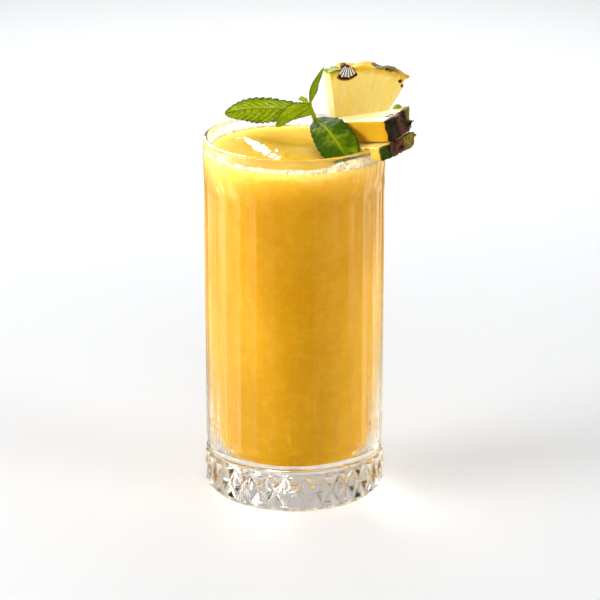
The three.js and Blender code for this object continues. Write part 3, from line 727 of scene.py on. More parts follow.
def turned_glass_tree(t):
    """Turns a profile round the axis and presses flat flutes and cut diamonds into it."""
    g, given = geometry_graph("TurnedPressedGlass", {
        "Flutes": t.flutes, "Columns per Flute": COLUMNS_PER_FLUTE, "Flute Bottom": t.flute_bottom,
        "Flute Top": t.flute_top, "Scallop": t.scallop, "Cut Bottom": t.cut_bottom, "Cut Top": t.cut_top,
        "Cut Depth": t.cut_depth, "Waist Inset": t.flute_radius - t.waist_radius,
        "Flute Hollow": t.flute_hollow,
    })
    rows = g.add("GeometryNodeAttributeDomainSize", {"Geometry": given["Geometry"]}).outputs["Point Count"]
    columns = g.math("MULTIPLY", given["Flutes"], given["Columns per Flute"])
    last_row = g.math("SUBTRACT", rows, 1)
    sheet = g.add("GeometryNodeMeshGrid", {
        "Size X": columns, "Size Y": last_row, "Vertices X": g.math("ADD", columns, 1), "Vertices Y": rows,
    }).outputs["Mesh"]
    place = g.add("GeometryNodeInputPosition").outputs[0]
    across, down, _ = g.parts(place)
    column = g.math("ADD", across, g.math("MULTIPLY", columns, 0.5))
    row = g.math("ROUND", g.math("ADD", down, g.math("MULTIPLY", last_row, 0.5)))
    profile, pressed = (
        g.add("GeometryNodeSampleIndex", {
            "Geometry": given["Geometry"], "Value": value, "Index": row,
        }, data_type=kind).outputs["Value"]
        for value, kind in ((place, "FLOAT_VECTOR"), (g.named("pressed"), "FLOAT"))
    )
    radius, _, height = g.parts(profile)

    turn = g.math("DIVIDE", column, given["Columns per Flute"])
    along = g.math("SUBTRACT", g.math("MULTIPLY", g.math("FRACT", turn), 2), 1)
    half_flute = g.math("DIVIDE", math.pi, given["Flutes"])
    flat = g.math("COSINE", g.math("MULTIPLY", half_flute, along))
    flat = g.math("DIVIDE", g.math("COSINE", half_flute), flat)
    arch = g.math("SUBTRACT", 1, g.math("MULTIPLY", along, along))
    foot = g.math("SUBTRACT", given["Flute Bottom"], g.math("MULTIPLY", given["Scallop"], arch))
    risen = g.math("SUBTRACT", height, foot)
    started = g.ramp(-0.1 * MM, 0.9 * MM, risen)
    fade_start, fade_end = (g.math("ADD", given["Flute Top"], shift * MM) for shift in (-7, 3))
    fading = g.ramp(fade_start, fade_end, height)
    fluted = g.math("MULTIPLY", started, g.math("SUBTRACT", 1, fading))
    narrowed = g.math("MULTIPLY", radius, g.math("SUBTRACT", flat, 1))
    narrowed = g.math("SUBTRACT", narrowed, g.math("MULTIPLY", arch, given["Flute Hollow"]))
    narrowed = g.math("MULTIPLY", narrowed, fluted)
    waist = g.math("SUBTRACT", given["Waist Inset"], 0.25 * MM)
    flute_relief = g.math("ADD", narrowed, g.math("MULTIPLY", g.math("SUBTRACT", started, 1), waist))

    middle = g.math("MULTIPLY", g.math("ADD", given["Cut Bottom"], given["Cut Top"]), 0.5)
    half_band = g.math("MULTIPLY", g.math("SUBTRACT", given["Cut Top"], given["Cut Bottom"]), 0.5)
    up = g.math("DIVIDE", g.math("SUBTRACT", height, middle), half_band)
    up = g.math("MINIMUM", g.math("ABSOLUTE", up), 1)
    lattice = g.math("SUBTRACT", 1, g.math("ADD", g.math("ABSOLUTE", along), up))
    rounded = g.math("SQRT", g.math("ADD", g.math("MULTIPLY", lattice, lattice), 0.0012))
    past_bottom = g.ramp(1.5 * MM, given["Cut Bottom"], height, smooth=False)
    past_top = g.ramp(given["Cut Top"], g.math("ADD", given["Cut Top"], 1.6 * MM), height, smooth=False)
    cut_fade = g.math("MULTIPLY", past_bottom, g.math("SUBTRACT", 1, past_top))
    cut_relief = g.math("MULTIPLY", g.math("MULTIPLY", rounded, given["Cut Depth"]), cut_fade)
    above = g.math("GREATER_THAN", height, g.math("ADD", given["Cut Top"], 3 * MM))
    relief = g.math("MULTIPLY", cut_relief, g.math("SUBTRACT", 1, above))
    relief = g.math("ADD", g.math("MULTIPLY", flute_relief, above), relief)
    radius = g.math("ADD", radius, g.math("MULTIPLY", relief, pressed))

    angle = g.math("MULTIPLY", g.math("DIVIDE", column, columns), 2 * math.pi)
    spot = g.add("ShaderNodeCombineXYZ", {
        0: g.math("MULTIPLY", radius, g.math("SINE", angle)),
        1: g.math("MULTIPLY", radius, g.math("MULTIPLY", g.math("COSINE", angle), -1)),
        2: height,
    }).outputs[0]
    shaped = g.add("GeometryNodeSetPosition", {"Geometry": sheet, "Position": spot}).outputs[0]
    closed = g.add("GeometryNodeMergeByDistance", {"Geometry": shaped, "Distance": 1e-6}).outputs[0]
    return g.finish(closed, given["Material"])


def with_nodes(piece, tree, material):
    """Runs a node tree on a piece, with its inputs at their defaults and the given material."""
    modifier = piece.modifiers.new("Nodes", "NODES")
    modifier.node_group = tree
    for item in tree.interface.items_tree:
        if item.item_type == "SOCKET" and item.in_out == "INPUT":
            if item.socket_type == "NodeSocketMaterial":
                modifier[item.identifier] = material
            elif item.socket_type != "NodeSocketGeometry":
                modifier[item.identifier] = item.default_value
    return piece


class SMOOTHIE_OT_tumbler(bpy.types.Operator):
    """Makes the clear pressed-glass tumbler"""

    bl_idname = "smoothie.tumbler"
    bl_label = "Tumbler"

    def execute(self, context):
        t = context.scene.smoothie_tumbler
        rows = tumbler_profile(t)
        outline = bpy.data.meshes.new("tumbler_profile")
        outline.from_pydata([(radius, 0, height) for radius, height, _ in rows], [], [])
        store(outline, pressed=[pressed for *_, pressed in rows])
        seed = linked("tumbler_profile", outline)
        with_nodes(seed, turned_glass_tree(t), glass_material(t))
        glass = baked(seed, "tumbler_glass")
        tidy_mesh(glass.data)
        settle(glass, "clear_glass", "tumbler")
        return {"FINISHED"}


# Smoothie

def broad_rise(part, x, y):
    """One broad rise or hollow of the drink's top, in millimetres."""
    (middle_x, middle_y), (reach_x, reach_y) = part["middle"], part["reach"]
    return part["rise"] * bump_of(x - middle_x, reach_x) * bump_of(y - middle_y, reach_y)


def drink_height(d, edge, x, y):
    """Height of the smoothie's top: one thick poured fold curls from the back left to the front."""
    share = np.minimum(np.hypot(x, y) / edge, 1)
    contact = d.contact_height + d.contact_tilt * np.cos(np.arctan2(y, x) - d.contact_azimuth)
    level = contact * share + d.contact_height * (1 - share)
    inside = 1 - share ** 4
    u, v = x / MM - FOLD["start"][0], y / MM - FOLD["start"][1]
    east, north = FOLD["along"]
    across, run = north * u - east * v, east * u + north * v
    width = np.where(across > 0, FOLD["steep"], FOLD["gentle"])
    crest = FOLD["rise"] * bump_of(across, width) * bump_of(run - FOLD["middle"], FOLD["reach"])
    hollow, mound = (broad_rise(part, x / MM, y / MM) for part in (HOLLOW, MOUND))
    ground = np.stack([np.ravel(x), np.ravel(y), 0 * np.ravel(x)], axis=1) / MM
    lumps = lattice_noise(ground, 2.1, 73) + 0.5 * lattice_noise(ground, 1.1, 74)
    lumps = FOLD["lumps"] * lumps.reshape(np.shape(x)) * bump_of(across, FOLD["lump_width"])
    return level + inside * (d.dome * (1 - share ** 2) + MM * (crest + hollow + mound + lumps))


class SMOOTHIE_OT_smoothie(bpy.types.Operator):
    """Makes the thick drink, from the tumbler's floor to its folded top"""

    bl_idname = "smoothie.smoothie"
    bl_label = "Smoothie"

    def execute(self, context):
        t, d = context.scene.smoothie_tumbler, context.scene.smoothie_drink
        columns = DRINK_ROWS["columns"]
        turn = 2 * math.pi * np.arange(columns) / columns
        cos, sin = np.cos(turn), np.sin(turn)
        shoulder = d.contact_height - SHOULDER * MM
        rings = []
        for step in range(DRINK_ROWS["corner"], -1, -1):
            radius, height = floor_corner(t, step / DRINK_ROWS["corner"])
            rings.append((radius + d.bite, np.full(columns, height - d.bite)))
        for height in np.linspace(t.wall_bottom_height + 1 * MM, shoulder, DRINK_ROWS["wall"]):
            rings.append((wall_inner_radius(t, height) + d.bite, np.full(columns, height)))
        edge = wall_inner_radius(t, d.contact_height)
        for distance in [0, *np.linspace(*TOP_RINGS, DRINK_ROWS["top"]) * MM]:
            radius = edge + d.bite - distance
            rings.append((radius, drink_height(d, edge, radius * cos, radius * sin)))
        places = [(0, 0, t.floor_height - d.bite)]
        for radius, heights in rings:
            places.extend(zip(radius * cos, radius * sin, heights))
        places.append((0, 0, float(drink_height(d, edge, np.array(0.0), np.array(0.0)))))
        top = 1 + (len(rings) - 1) * columns
        faces = []
        for column in range(columns):
            following = (column + 1) % columns
            faces.append((0, 1 + following, 1 + column))
            faces.append((top + column, top + following, len(places) - 1))
        for ring in range(len(rings) - 1):
            faces += ring_faces(columns, 1 + ring * columns, 1 + (ring + 1) * columns)
        drink = new_object("mango_smoothie", places, faces)
        tidy_mesh(drink.data)
        spots = coordinates(drink.data)
        wall = wall_inner_radius(t, spots[:, 2]) + d.bite
        clear_of_wall = wall - np.hypot(spots[:, 0], spots[:, 1]) > 0.05 * MM
        opened = clear_of_wall & (spots[:, 2] > shoulder)
        x, y, z = spots.T
        rising = smoothstep(d.contact_height - 17 * MM, d.contact_height + 1 * MM, z)
        from_edge = edge - np.hypot(x, y)
        wave = lattice_noise(spots / MM, 4, 71) * MM
        cream = smoothstep(2.4 * MM, 0.6 * MM, from_edge + wave)
        band = 0.5 * smoothstep(d.contact_height - 6 * MM, d.contact_height, z + wave)
        cream = np.where(opened, cream, band)
        # Top's paleness: random swirls, painted light to the left, painted shade in the hollow by the fold
        swirl = lattice_noise(np.stack([x / MM + 0.5 * y / MM, y / MM, 0 * x], axis=1), 9, 72)
        pale = 0.5 + 0.3 * swirl + 0.5 * smoothstep(-12 * MM, -28 * MM, x)
        pale -= 0.9 * bump_of(x / MM + 3, 11) * bump_of(y / MM - 10, 9)
        rising, pale = np.maximum(opened, 0.9 * rising), np.clip(pale, 0, 1)
        store(drink.data, open=opened, rising=rising, cream=cream, pale=pale)
        drink.data.materials.append(smoothie_material(d))
        settle(drink, "mango_smoothie", "smoothie")
        return {"FINISHED"}


# Froth: a ragged film and small bubbles cling to the glass over the drink, with flecks of mint

def scatter_tree():
    """Puts a small ball on each point, as large as the point's own size."""
    g, given = geometry_graph("ScatteredBalls", {"Subdivisions": 2, "Flatness": 0.75, "Seed": 9})
    points = g.add("GeometryNodeMeshToPoints", {"Mesh": given["Geometry"]}).outputs[0]
    size = g.named("size")
    round_ball = {"Radius": 1.0, "Subdivisions": given["Subdivisions"]}
    ball = g.add("GeometryNodeMeshIcoSphere", round_ball).outputs[0]
    thin = g.math("MULTIPLY", size, given["Flatness"])
    spread = g.add("ShaderNodeCombineXYZ", {0: size, 1: thin, 2: size}).outputs[0]
    turn = g.add("FunctionNodeRandomValue", {
        0: (0, 0, 0), 1: (math.pi, math.pi, math.pi), "Seed": given["Seed"],
    }, data_type="FLOAT_VECTOR").outputs[0]
    return g.finish(g.scattered(points, ball, turn, spread), given["Material"])


def froth_material(drink):
    """Pale foam, torn at its edge, with greyer and yellower places."""
    material, graph, shader, _ = new_material("froth")
    foam = mottle(graph, object_place(graph), 350, 1300, 0.55, 0.4, 0.56)
    cover, = graph.attributes("cover")
    torn = graph.math("MULTIPLY_ADD", foam["Height"], 0.8, graph.math("MULTIPLY_ADD", cover, 0.5, -0.45))
    graph.feed(shader, {
        "Base Color": graph.mix(foam["Mask"], drink.film_dark, drink.film_light),
        "Alpha": graph.ramp(0.3, 0.62, torn), "Roughness": 0.4,
        "Normal": graph.bump(foam["Height"], 0.6, 0.4 * MM),
    })
    return material


def speck_material(name, tone):
    """One tone, darker in patches."""
    material, graph, shader, _ = new_material(name)
    shade = mottle(graph, object_place(graph), 500, 1500, 0.5, 0.35, 0.6)
    dark = tuple(0.5 * part for part in tone)
    graph.feed(shader, {"Base Color": graph.mix(shade["Mask"], dark, tone), "Roughness": 0.5})
    return material


class SMOOTHIE_OT_froth(bpy.types.Operator):
    """Makes the film and bubbles along the drink's edge, and the flecks on the glass"""

    bl_idname = "smoothie.froth"
    bl_label = "Froth"

    def execute(self, context):
        t, d = context.scene.smoothie_tumbler, context.scene.smoothie_drink
        foam = froth_material(d)
        self.make_film(t, d, foam)
        random = np.random.default_rng(21)
        turn = random.uniform(0, 2 * math.pi, FROTH["bubbles"])
        size = random.uniform(*FROTH["bubble_radius"], FROTH["bubbles"]) * MM
        risen = random.normal(FROTH["bubble_rise"], FROTH["bubble_spread"], FROTH["bubbles"]) * MM
        places = (turn, self.contact(d, turn) + risen, size)
        self.make_balls("froth_bubbles", t, places, FROTH["bubble_sunk"], foam, "mango_smoothie")
        for kind, (tone, slot, flecks) in SPECKS.items():
            turn, height, size = (np.array(part) for part in zip(*flecks))
            places = (np.radians(turn), height * MM, size * MM)
            material = speck_material("speck_" + kind, tone)
            self.make_balls("specks_" + kind, t, places, FROTH["fleck_sunk"], material, slot)
        return {"FINISHED"}

    def contact(self, d, turn):
        """Height where the drink meets the glass; turn 0 faces the camera, and grows to the right."""
        return d.contact_height + d.contact_tilt * np.cos(turn - math.pi / 2 - d.contact_azimuth)

    def make_balls(self, name, t, places, sunk, material, slot):
        """Puts a ball on the inside of the glass at each turn and height, of each size."""
        turn, height, size = places
        radius = wall_inner_radius(t, height) - sunk * size
        spots = np.stack([radius * np.sin(turn), -radius * np.cos(turn), height], axis=1)
        mesh = bpy.data.meshes.new(name + "_points")
        mesh.from_pydata([tuple(spot) for spot in spots], [], [])
        store(mesh, size=size)
        seed = linked(name + "_points", mesh)
        with_nodes(seed, bpy.data.node_groups.get("ScatteredBalls") or scatter_tree(), material)
        balls = baked(seed, name)
        store(balls.data, cover=2)
        settle(balls, slot)

    def make_film(self, t, d, material):
        """A thin ragged shell from the drink's edge up, its outer layer just within the glass."""
        columns, rows = FROTH["columns"], FROTH["rows"]
        turn = 2 * math.pi * np.arange(columns) / columns
        ring = np.stack([30 * np.sin(turn), 30 * np.cos(turn), 0 * turn], axis=1)
        from_smear = np.abs((np.degrees(turn) - FROTH["smear_azimuth"] + 180) % 360 - 180)
        smear = bump_of(from_smear, FROTH["smear_width"])
        facing = smoothstep(-0.3, 0.45, np.cos(turn)) * FROTH["front_rise"]
        ragged = 0.5 * lattice_noise(ring, 5, 61) + 0.3 * lattice_noise(ring, 1.3, 62)
        rise = FROTH["film_rise"] + facing + ragged + FROTH["smear_rise"] * smear
        rise = np.maximum(rise, FROTH["least_rise"]) * MM
        low = self.contact(d, turn)
        places, edges = [], []
        for layer in (1, -1):
            for share in np.linspace(0, 1, rows):
                height = low + share * rise
                thick = FROTH["foot"] * (1 - share ** 2) + FROTH["edge"]
                outwards = FROTH["into_glass"] if layer > 0 else -thick
                radius = wall_inner_radius(t, height) + outwards * MM
                places.append(np.stack([radius * np.sin(turn), -radius * np.cos(turn), height], axis=1))
                edges.append((1.15 + smear) * smoothstep(1.05, 0.55, share))
        faces = []
        for row in (*range(rows - 1), *range(rows, 2 * rows - 1)):
            faces += ring_faces(columns, row * columns, (row + 1) * columns)
        for row in (0, rows - 1):
            faces += ring_faces(columns, row * columns, (rows + row) * columns)
        film = new_object("froth_film", np.concatenate(places), faces)
        store(film.data, cover=np.concatenate(edges))
        tidy_mesh(film.data)
        film.data.materials.append(material)
        settle(film, "mango_smoothie")


# Pineapple

def wedge_axes(w):
    turn, lift, roll = (math.radians(w[key]) for key in ("azimuth", "rise", "roll"))
    outward = Vector((math.cos(lift) * math.cos(turn), math.cos(lift) * math.sin(turn), math.sin(lift)))
    level = Vector((-math.sin(turn), math.cos(turn), 0))
    sideways = level * math.cos(roll) + outward.cross(level) * math.sin(roll)
    return np.array(outward), np.array(sideways), np.array(outward.cross(sideways))


def wedge_local(w, places):
    """Distance from the apex, angle from the middle line and height over the upper face, in mm."""
    outward, sideways, upward = wedge_axes(w)
    offset = np.asarray(places) / MM - np.array(w["apex"])
    along, aside, height = offset @ outward, offset @ sideways, offset @ upward
    return np.hypot(along, aside), np.arctan2(aside, along), height


def scale_tones(w, angle):
    """Tone of the rind's scale at each angle, and how close the groove between two scales is."""
    starts = [start for start, _ in w["scales"]]
    tones = np.array([RIND_TONES[tone] for _, tone in w["scales"]])
    degrees = np.degrees(angle)
    tone = tones[np.clip(np.searchsorted(starts, degrees) - 1, 0, len(starts) - 1)]
    away = np.min([np.abs(degrees - start) for start in starts], axis=0)
    return tone, bump_of(np.radians(away) * w["radius"], 0.5)


def eye_petal_tree():
    """Fans tapered petals round one point, a little away from it."""
    g, given = geometry_graph("EyePetals", {
        "Petals": EYE["petals"], "Spread": math.radians(EYE["spread"]), "Start": EYE["start"] * MM,
        "Length": EYE["length"] * MM, "Radius": EYE["radius"] * MM, "Seed": 4,
    })
    points = g.add("GeometryNodePoints", {"Count": given["Petals"]}).outputs[0]
    index = g.add("GeometryNodeInputIndex").outputs[0]
    share = g.math("DIVIDE", index, g.math("SUBTRACT", given["Petals"], 1))
    turn = g.math("MULTIPLY", g.math("SUBTRACT", share, 0.5), given["Spread"])
    uneven = g.add("FunctionNodeRandomValue", {
        "Min": 0.88, "Max": 1.04, "Seed": given["Seed"],
    }, data_type="FLOAT").outputs["Value"]
    petal = g.add("GeometryNodeMeshCone", {
        "Vertices": 10, "Side Segments": 6, "Radius Top": given["Radius"],
        "Radius Bottom": g.math("MULTIPLY", given["Radius"], 0.3), "Depth": given["Length"],
    }).outputs[0]
    away = g.add("ShaderNodeCombineXYZ", {2: given["Start"]}).outputs[0]
    petal = g.add("GeometryNodeTransform", {"Geometry": petal, "Translation": away}).outputs[0]
    facing = g.add("ShaderNodeCombineXYZ", {0: math.pi / 2, 2: turn}).outputs[0]
    stretch = g.add("ShaderNodeCombineXYZ", {0: 1.0, 1: 0.45, 2: uneven}).outputs[0]
    return g.finish(g.scattered(points, petal, facing, stretch), given["Material"])


def eye_petal_material():
    """Papery white petals, a little yellow in places."""
    material, graph, shader, _ = new_material("eye_petal")
    grain = graph.noise(graph.stretched(object_place(graph), (1, 1, 0.3)), 1500, 2)
    graph.feed(shader, {"Base Color": graph.mix(grain, *EYE["tones"]), "Roughness": 0.6})
    return material


class SMOOTHIE_OT_pineapple(bpy.types.Operator):
    """Makes the three pineapple wedges from their solids, with fibres, a scaly rind and an open eye"""

    bl_idname = "smoothie.pineapple"
    bl_label = "Pineapple wedges"

    def execute(self, context):
        material = pineapple_material(context.scene.smoothie_fruit)
        for number, (name, w) in enumerate(WEDGES.items()):
            wedge = self.remeshed(name)
            mesh = wedge.data
            mesh.materials.clear()
            mesh.materials.append(material)
            places, normals = coordinates(mesh), vertex_normals(mesh)
            distance, angle, height = wedge_local(w, places)
            inset = w["radius"] + w["skew"] * angle - distance
            arc = w["radius"] * angle
            local = np.stack([distance, arc, height], axis=1)
            ragged = inset + 0.45 * lattice_noise(local, 1.6, 5 + number)
            rind = smoothstep(w["rind_depth"] + 0.5, w["rind_depth"] - 0.3, ragged)
            tone, groove = scale_tones(w, angle + 0.02 * lattice_noise(local, 2.4, 41 + number))
            tone[inset < -1.5] = RIND_TONES["black"]
            for depth, turn, reach, spot in w["spots"]:
                away = np.hypot(inset - depth, arc - w["radius"] * math.radians(turn))
                share = smoothstep(reach * 1.1, reach * 0.7, away + 0.35 * lattice_noise(local, 0.8, 51))
                share *= smoothstep(-2.6, -1.4, height)
                tone += (share * smoothstep(0, 1, share))[:, None] * (np.array(RIND_TONES[spot]) - tone)
                rind = np.maximum(rind, share)
            if name == "pineapple_wedge_back":
                self.mark_eye(w, inset, angle, height, tone, rind)
            fibre = lattice_noise(local * (0.3, 1.1, 1.1), 1.0, 11 + number)
            crag = lattice_noise(local, 1.3, 23 + number) + 0.6 * lattice_noise(local, 0.55, 31 + number)
            rough = FRUIT_RELIEF["crag"] * crag - FRUIT_RELIEF["groove"] * groove
            relief = (1 - rind) * FRUIT_RELIEF["fibre"] * fibre + rind * rough
            set_coordinates(mesh, places + normals * relief[:, None] * MM)
            _, sideways, _ = wedge_axes(w)
            # Painted light: faces turned upwards, and the far cut turned to the side, are drawn paler
            pale = w["pale"] + (w["painted_light_top"] - w["pale"]) * smoothstep(0.2, 0.95, normals[:, 2])
            pale = np.maximum(pale, w["painted_light_side"] * smoothstep(0.5, 0.8, normals @ sideways))
            golden = w["golden"] * smoothstep(4.5, 0.6, inset + 0.6 * lattice_noise(local, 2, 81 + number))
            pale = np.clip(pale - golden, 0, 1)
            crust = 1 - 0.9 * smoothstep(0.06, 0.4, tone.mean(axis=1))
            store(mesh, fruit=local, rind=rind, pale=pale, scales=tone, crust=crust)
            settle(wedge, "pineapple", name)
        self.make_eye_petals(WEDGES["pineapple_wedge_back"])
        return {"FINISHED"}

    def remeshed(self, name):
        """The solid of a node with fine even faces."""
        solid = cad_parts[name].data.copy()
        tidy_mesh(solid, 1e-6)
        rough = linked(name + "_solid", solid)
        remesh = rough.modifiers.new("Remesh", "REMESH")
        remesh.mode = "VOXEL"
        remesh.voxel_size = FRUIT_VOXEL * MM
        return baked(rough, name + "_fruit")

    def mark_eye(self, w, inset, angle, height, tone, rind):
        """Darkens the hollow of the open eye, over the wedge's front edge too, and browns its lip."""
        run = inset + 0.31 * np.minimum(height, 0) * smoothstep(0.8, -0.2, inset) - EYE["inset"]
        aside = w["radius"] * (angle - math.radians(EYE["angle"])) - 0.1 * run
        beside = np.abs(aside) - EYE["slope"] * np.maximum(run, 0)
        beyond = np.hypot(aside, run) - EYE["reach"]
        front = smoothstep(-6.4, -5.4, height)
        lip = np.where(aside > 0, EYE["lip"], 0.3 * EYE["lip"])
        around = smoothstep(0.35, -0.35, beside - lip) * smoothstep(0.9, 0.3, beyond) * front
        inside = smoothstep(0.3, -0.3, beside) * smoothstep(0.2, -0.2, beyond) * front
        for share, name in ((around, "bract"), (inside, "hollow")):
            tone += share[:, None] * (np.array(RIND_TONES[name]) - tone)
        rind[:] = np.maximum(rind, np.maximum(around, inside))

    def make_eye_petals(self, w):
        """Makes the fan of petals flat, and lays it in the hollow eye."""
        outward, sideways, upward = (Vector(axis) for axis in wedge_axes(w))
        turn = math.radians(EYE["turn"])
        inward = -(outward * math.cos(turn) + sideways * math.sin(turn))
        across = inward.cross(upward)
        seed = linked("eye_seed", bpy.data.meshes.new("eye_seed"))
        with_nodes(seed, eye_petal_tree(), eye_petal_material())
        petals = baked(seed, "eye_petals", smooth=None)
        angle = math.radians(EYE["angle"])
        radius = w["radius"] + w["skew"] * angle - EYE["inset"]
        root = Vector(w["apex"]) + outward * radius * math.cos(angle) + sideways * radius * math.sin(angle)
        spots = coordinates(petals.data) / MM
        forward = -spots[:, 1]
        sunk = -0.45 - 0.5 * np.sin(np.clip(forward / EYE["reach"], 0, 1) * math.pi)
        placed = np.array(root) + np.outer(forward, inward) + np.outer(spots[:, 0], across)
        placed += np.outer(spots[:, 2] + sunk, upward)
        set_coordinates(petals.data, placed * MM)
        tidy_mesh(petals.data, 1e-6)
        settle(petals, "pineapple")


# Mint

def catmull_rom(points, share):
    """Points and tangents on a centripetal spline through the given points."""
    points = np.asarray(points, float)
    before = 2 * points[0] - points[1]
    after = 2 * points[-1] - points[-2]
    chain = np.vstack([before, points, after])
    spans = len(points) - 1
    place = np.clip(np.asarray(share, float), 0, 1) * spans
    span = np.minimum(place.astype(int), spans - 1)
    t = (place - span)[:, None]
    a, b, c, d = (chain[span + step] for step in range(4))
    ab, bc, cd = (np.linalg.norm(q - p, axis=1, keepdims=True) ** 0.5 for p, q in ((a, b), (b, c), (c, d)))
    start = ((b - a) / ab - (c - a) / (ab + bc) + (c - b) / bc) * bc
    end = ((c - b) / bc - (d - b) / (bc + cd) + (d - c) / cd) * bc
    cubic, square = 2 * b - 2 * c + start + end, -3 * b + 3 * c - 2 * start - end
    place = cubic * t ** 3 + square * t ** 2 + start * t + b
    tangent = 3 * cubic * t ** 2 + 2 * square * t + start
    return place, tangent / np.linalg.norm(tangent, axis=1, keepdims=True)


def leaf_blade(leaf, long, wide, seed):
    """Vertices, faces and markings of one leaf, in mm: quilted between its veins, saw-edged."""
    run = np.linspace(0, 1, long)
    middle, along = catmull_rom(leaf["midrib"], run)
    side = np.outer(1 - run, leaf["side_base"]) + np.outer(run, leaf["side_tip"])
    side -= along * np.sum(side * along, axis=1, keepdims=True)
    side /= np.linalg.norm(side, axis=1, keepdims=True)
    normal = np.cross(along, side)
    fullest = leaf["fullest"]
    rise = np.where(run < fullest, run / fullest, (1 - run) / (1 - fullest))
    width = BLADE["edge"] + leaf["half_width"] * np.sin(np.pi / 2 * rise) ** leaf["bluntness"]
    reach_in_mm = np.linalg.norm(np.diff(middle, axis=0), axis=1).sum()
    puffs = lattice_noise(np.stack([run * reach_in_mm, run * 0, run * 0], axis=1), 2.2, seed)
    places, raised, rib_share = [], [], []
    for surface in (1, -1):
        for across in np.linspace(-1, 1, wide):
            turn = run * leaf["teeth"] + (0.35 if across > 0 else 0)
            saw = (turn % 1) ** 1.5
            reach = width * (1 - leaf["saw"] * saw * abs(across) ** 4) * across
            slant = run - 0.2 * np.abs(across) ** 1.4
            order = slant * leaf["veins"] + (0.4 if across > 0 else 0)
            vein = 1 - np.abs(order % 1 - 0.5) * 2
            vein_line = np.exp(-((1 - vein) / BLADE["vein_width"]) ** 2)
            spot = np.stack([order * 1.25, reach * 0.62 + 7 * np.sign(across), np.full(long, seed)], axis=1)
            cross_line = np.exp(-(lattice_noise(spot, 0.5, 3) / 0.2) ** 2)
            rib = math.exp(-(across / BLADE["rib_width"]) ** 2)
            net = (1 - (0.4 + 0.6 * leaf["net"]) * vein_line) * (1 - leaf["net"] * cross_line)
            quilt = net * (1 - rib) * (1 - abs(across) ** 6)
            swell = leaf["quilt"] * (quilt - 0.3) * np.minimum(width / leaf["half_width"] + 0.2, 1)
            ripple = 0.22 * np.sin(run * 15 + 2 * across + seed) * across ** 2 + 0.2 * puffs * (1 - rib)
            lift = leaf["fold"] * width * abs(across) + ripple + swell - BLADE["rib_depth"] * rib
            lift += surface * BLADE["half_thickness"]
            places.append(middle + side * reach[:, None] + normal * lift[:, None])
            raised.append(quilt)
            rib_share.append(np.full(long, rib) * smoothstep(1, 0.55, run))
    places, raised, rib_share = (np.concatenate(part) for part in (places, raised, rib_share))
    faces = []
    for layer in range(2):
        for strip in range(wide - 1):
            for step in range(long - 1):
                corner = (layer * wide + strip) * long + step
                quad = (corner, corner + 1, corner + long + 1, corner + long)
                faces.append(quad if layer == 0 else quad[::-1])
    under = wide * long
    rim = [strip * long for strip in range(wide)] + [(wide - 1) * long + step for step in range(1, long)]
    rim += [strip * long + long - 1 for strip in range(wide - 2, -1, -1)] + list(range(long - 2, 0, -1))
    for here, following in zip(rim, rim[1:] + rim[:1]):
        faces.append((here, following, following + under, here + under))
    return places, faces, raised, rib_share


class SMOOTHIE_OT_mint(bpy.types.Operator):
    """Makes the sprig of mint: stem, three spread leaves, an upright leaf and a bud"""

    bl_idname = "smoothie.mint"
    bl_label = "Mint"

    def execute(self, context):
        material = mint_material(context.scene.smoothie_fruit)
        for seed, (name, leaf) in enumerate(LEAVES.items()):
            places, faces, raised, rib = leaf_blade(leaf, *leaf["fineness"], seed)
            blade = new_object("mint_leaf_" + name, places * MM, faces)
            store(blade.data, raised=raised, rib=rib, young=leaf["young"])
            tidy_mesh(blade.data, 1e-6)
            blade.data.materials.append(material)
            settle(blade, "mint_leaf", *(["mint_sprig"] if name == "left" else []))
        self.make_stem(material)
        return {"FINISHED"}

    def make_stem(self, material):
        rings, sides = STEM["rings"], STEM["sides"]
        run, along = catmull_rom(STEM["route"], np.linspace(0, 1, rings))
        places = []
        for number, (place, heading) in enumerate(zip(run, along)):
            side = np.cross(heading, (0, 1, 0))
            side /= np.linalg.norm(side)
            other = np.cross(heading, side)
            swelling = bump_of(number / rings - STEM["swelling_at"], STEM["swelling_reach"])
            thick = STEM["radius"] * (1 + STEM["swelling"] * swelling)
            for step in range(sides):
                turn = 2 * math.pi * step / sides
                corner = 1 + STEM["square"] * math.cos(4 * turn)
                places.append(place + thick * corner * (side * math.cos(turn) + other * math.sin(turn)))
        faces = []
        for ring in range(rings - 1):
            faces += ring_faces(sides, ring * sides, (ring + 1) * sides)
        faces += [tuple(range(sides)), tuple(range((rings - 1) * sides, rings * sides))]
        stem = new_object("mint_stem", np.array(places) * MM, faces)
        tidy_mesh(stem.data)
        store(stem.data, raised=0.5, rib=0, young=0.75)
        stem.data.materials.append(material)
        settle(stem, "mint_leaf")


# Studio

def aimed(name, data, place, target):
    """Puts a lamp or a camera at a place, looking at a target."""
    made = linked(name, data)
    made.location = place
    made.rotation_euler = (Vector(target) - Vector(place)).to_track_quat("-Z", "Y").to_euler()
    return made


def lamp(name, place, target, size, power, hidden_from):
    light = bpy.data.lights.new(name, "AREA")
    light.shape = "RECTANGLE"
    light.size, light.size_y = size
    light.energy = power
    made = aimed(name, light, place, target)
    for kind in hidden_from:
        setattr(made, "visible_" + kind, False)


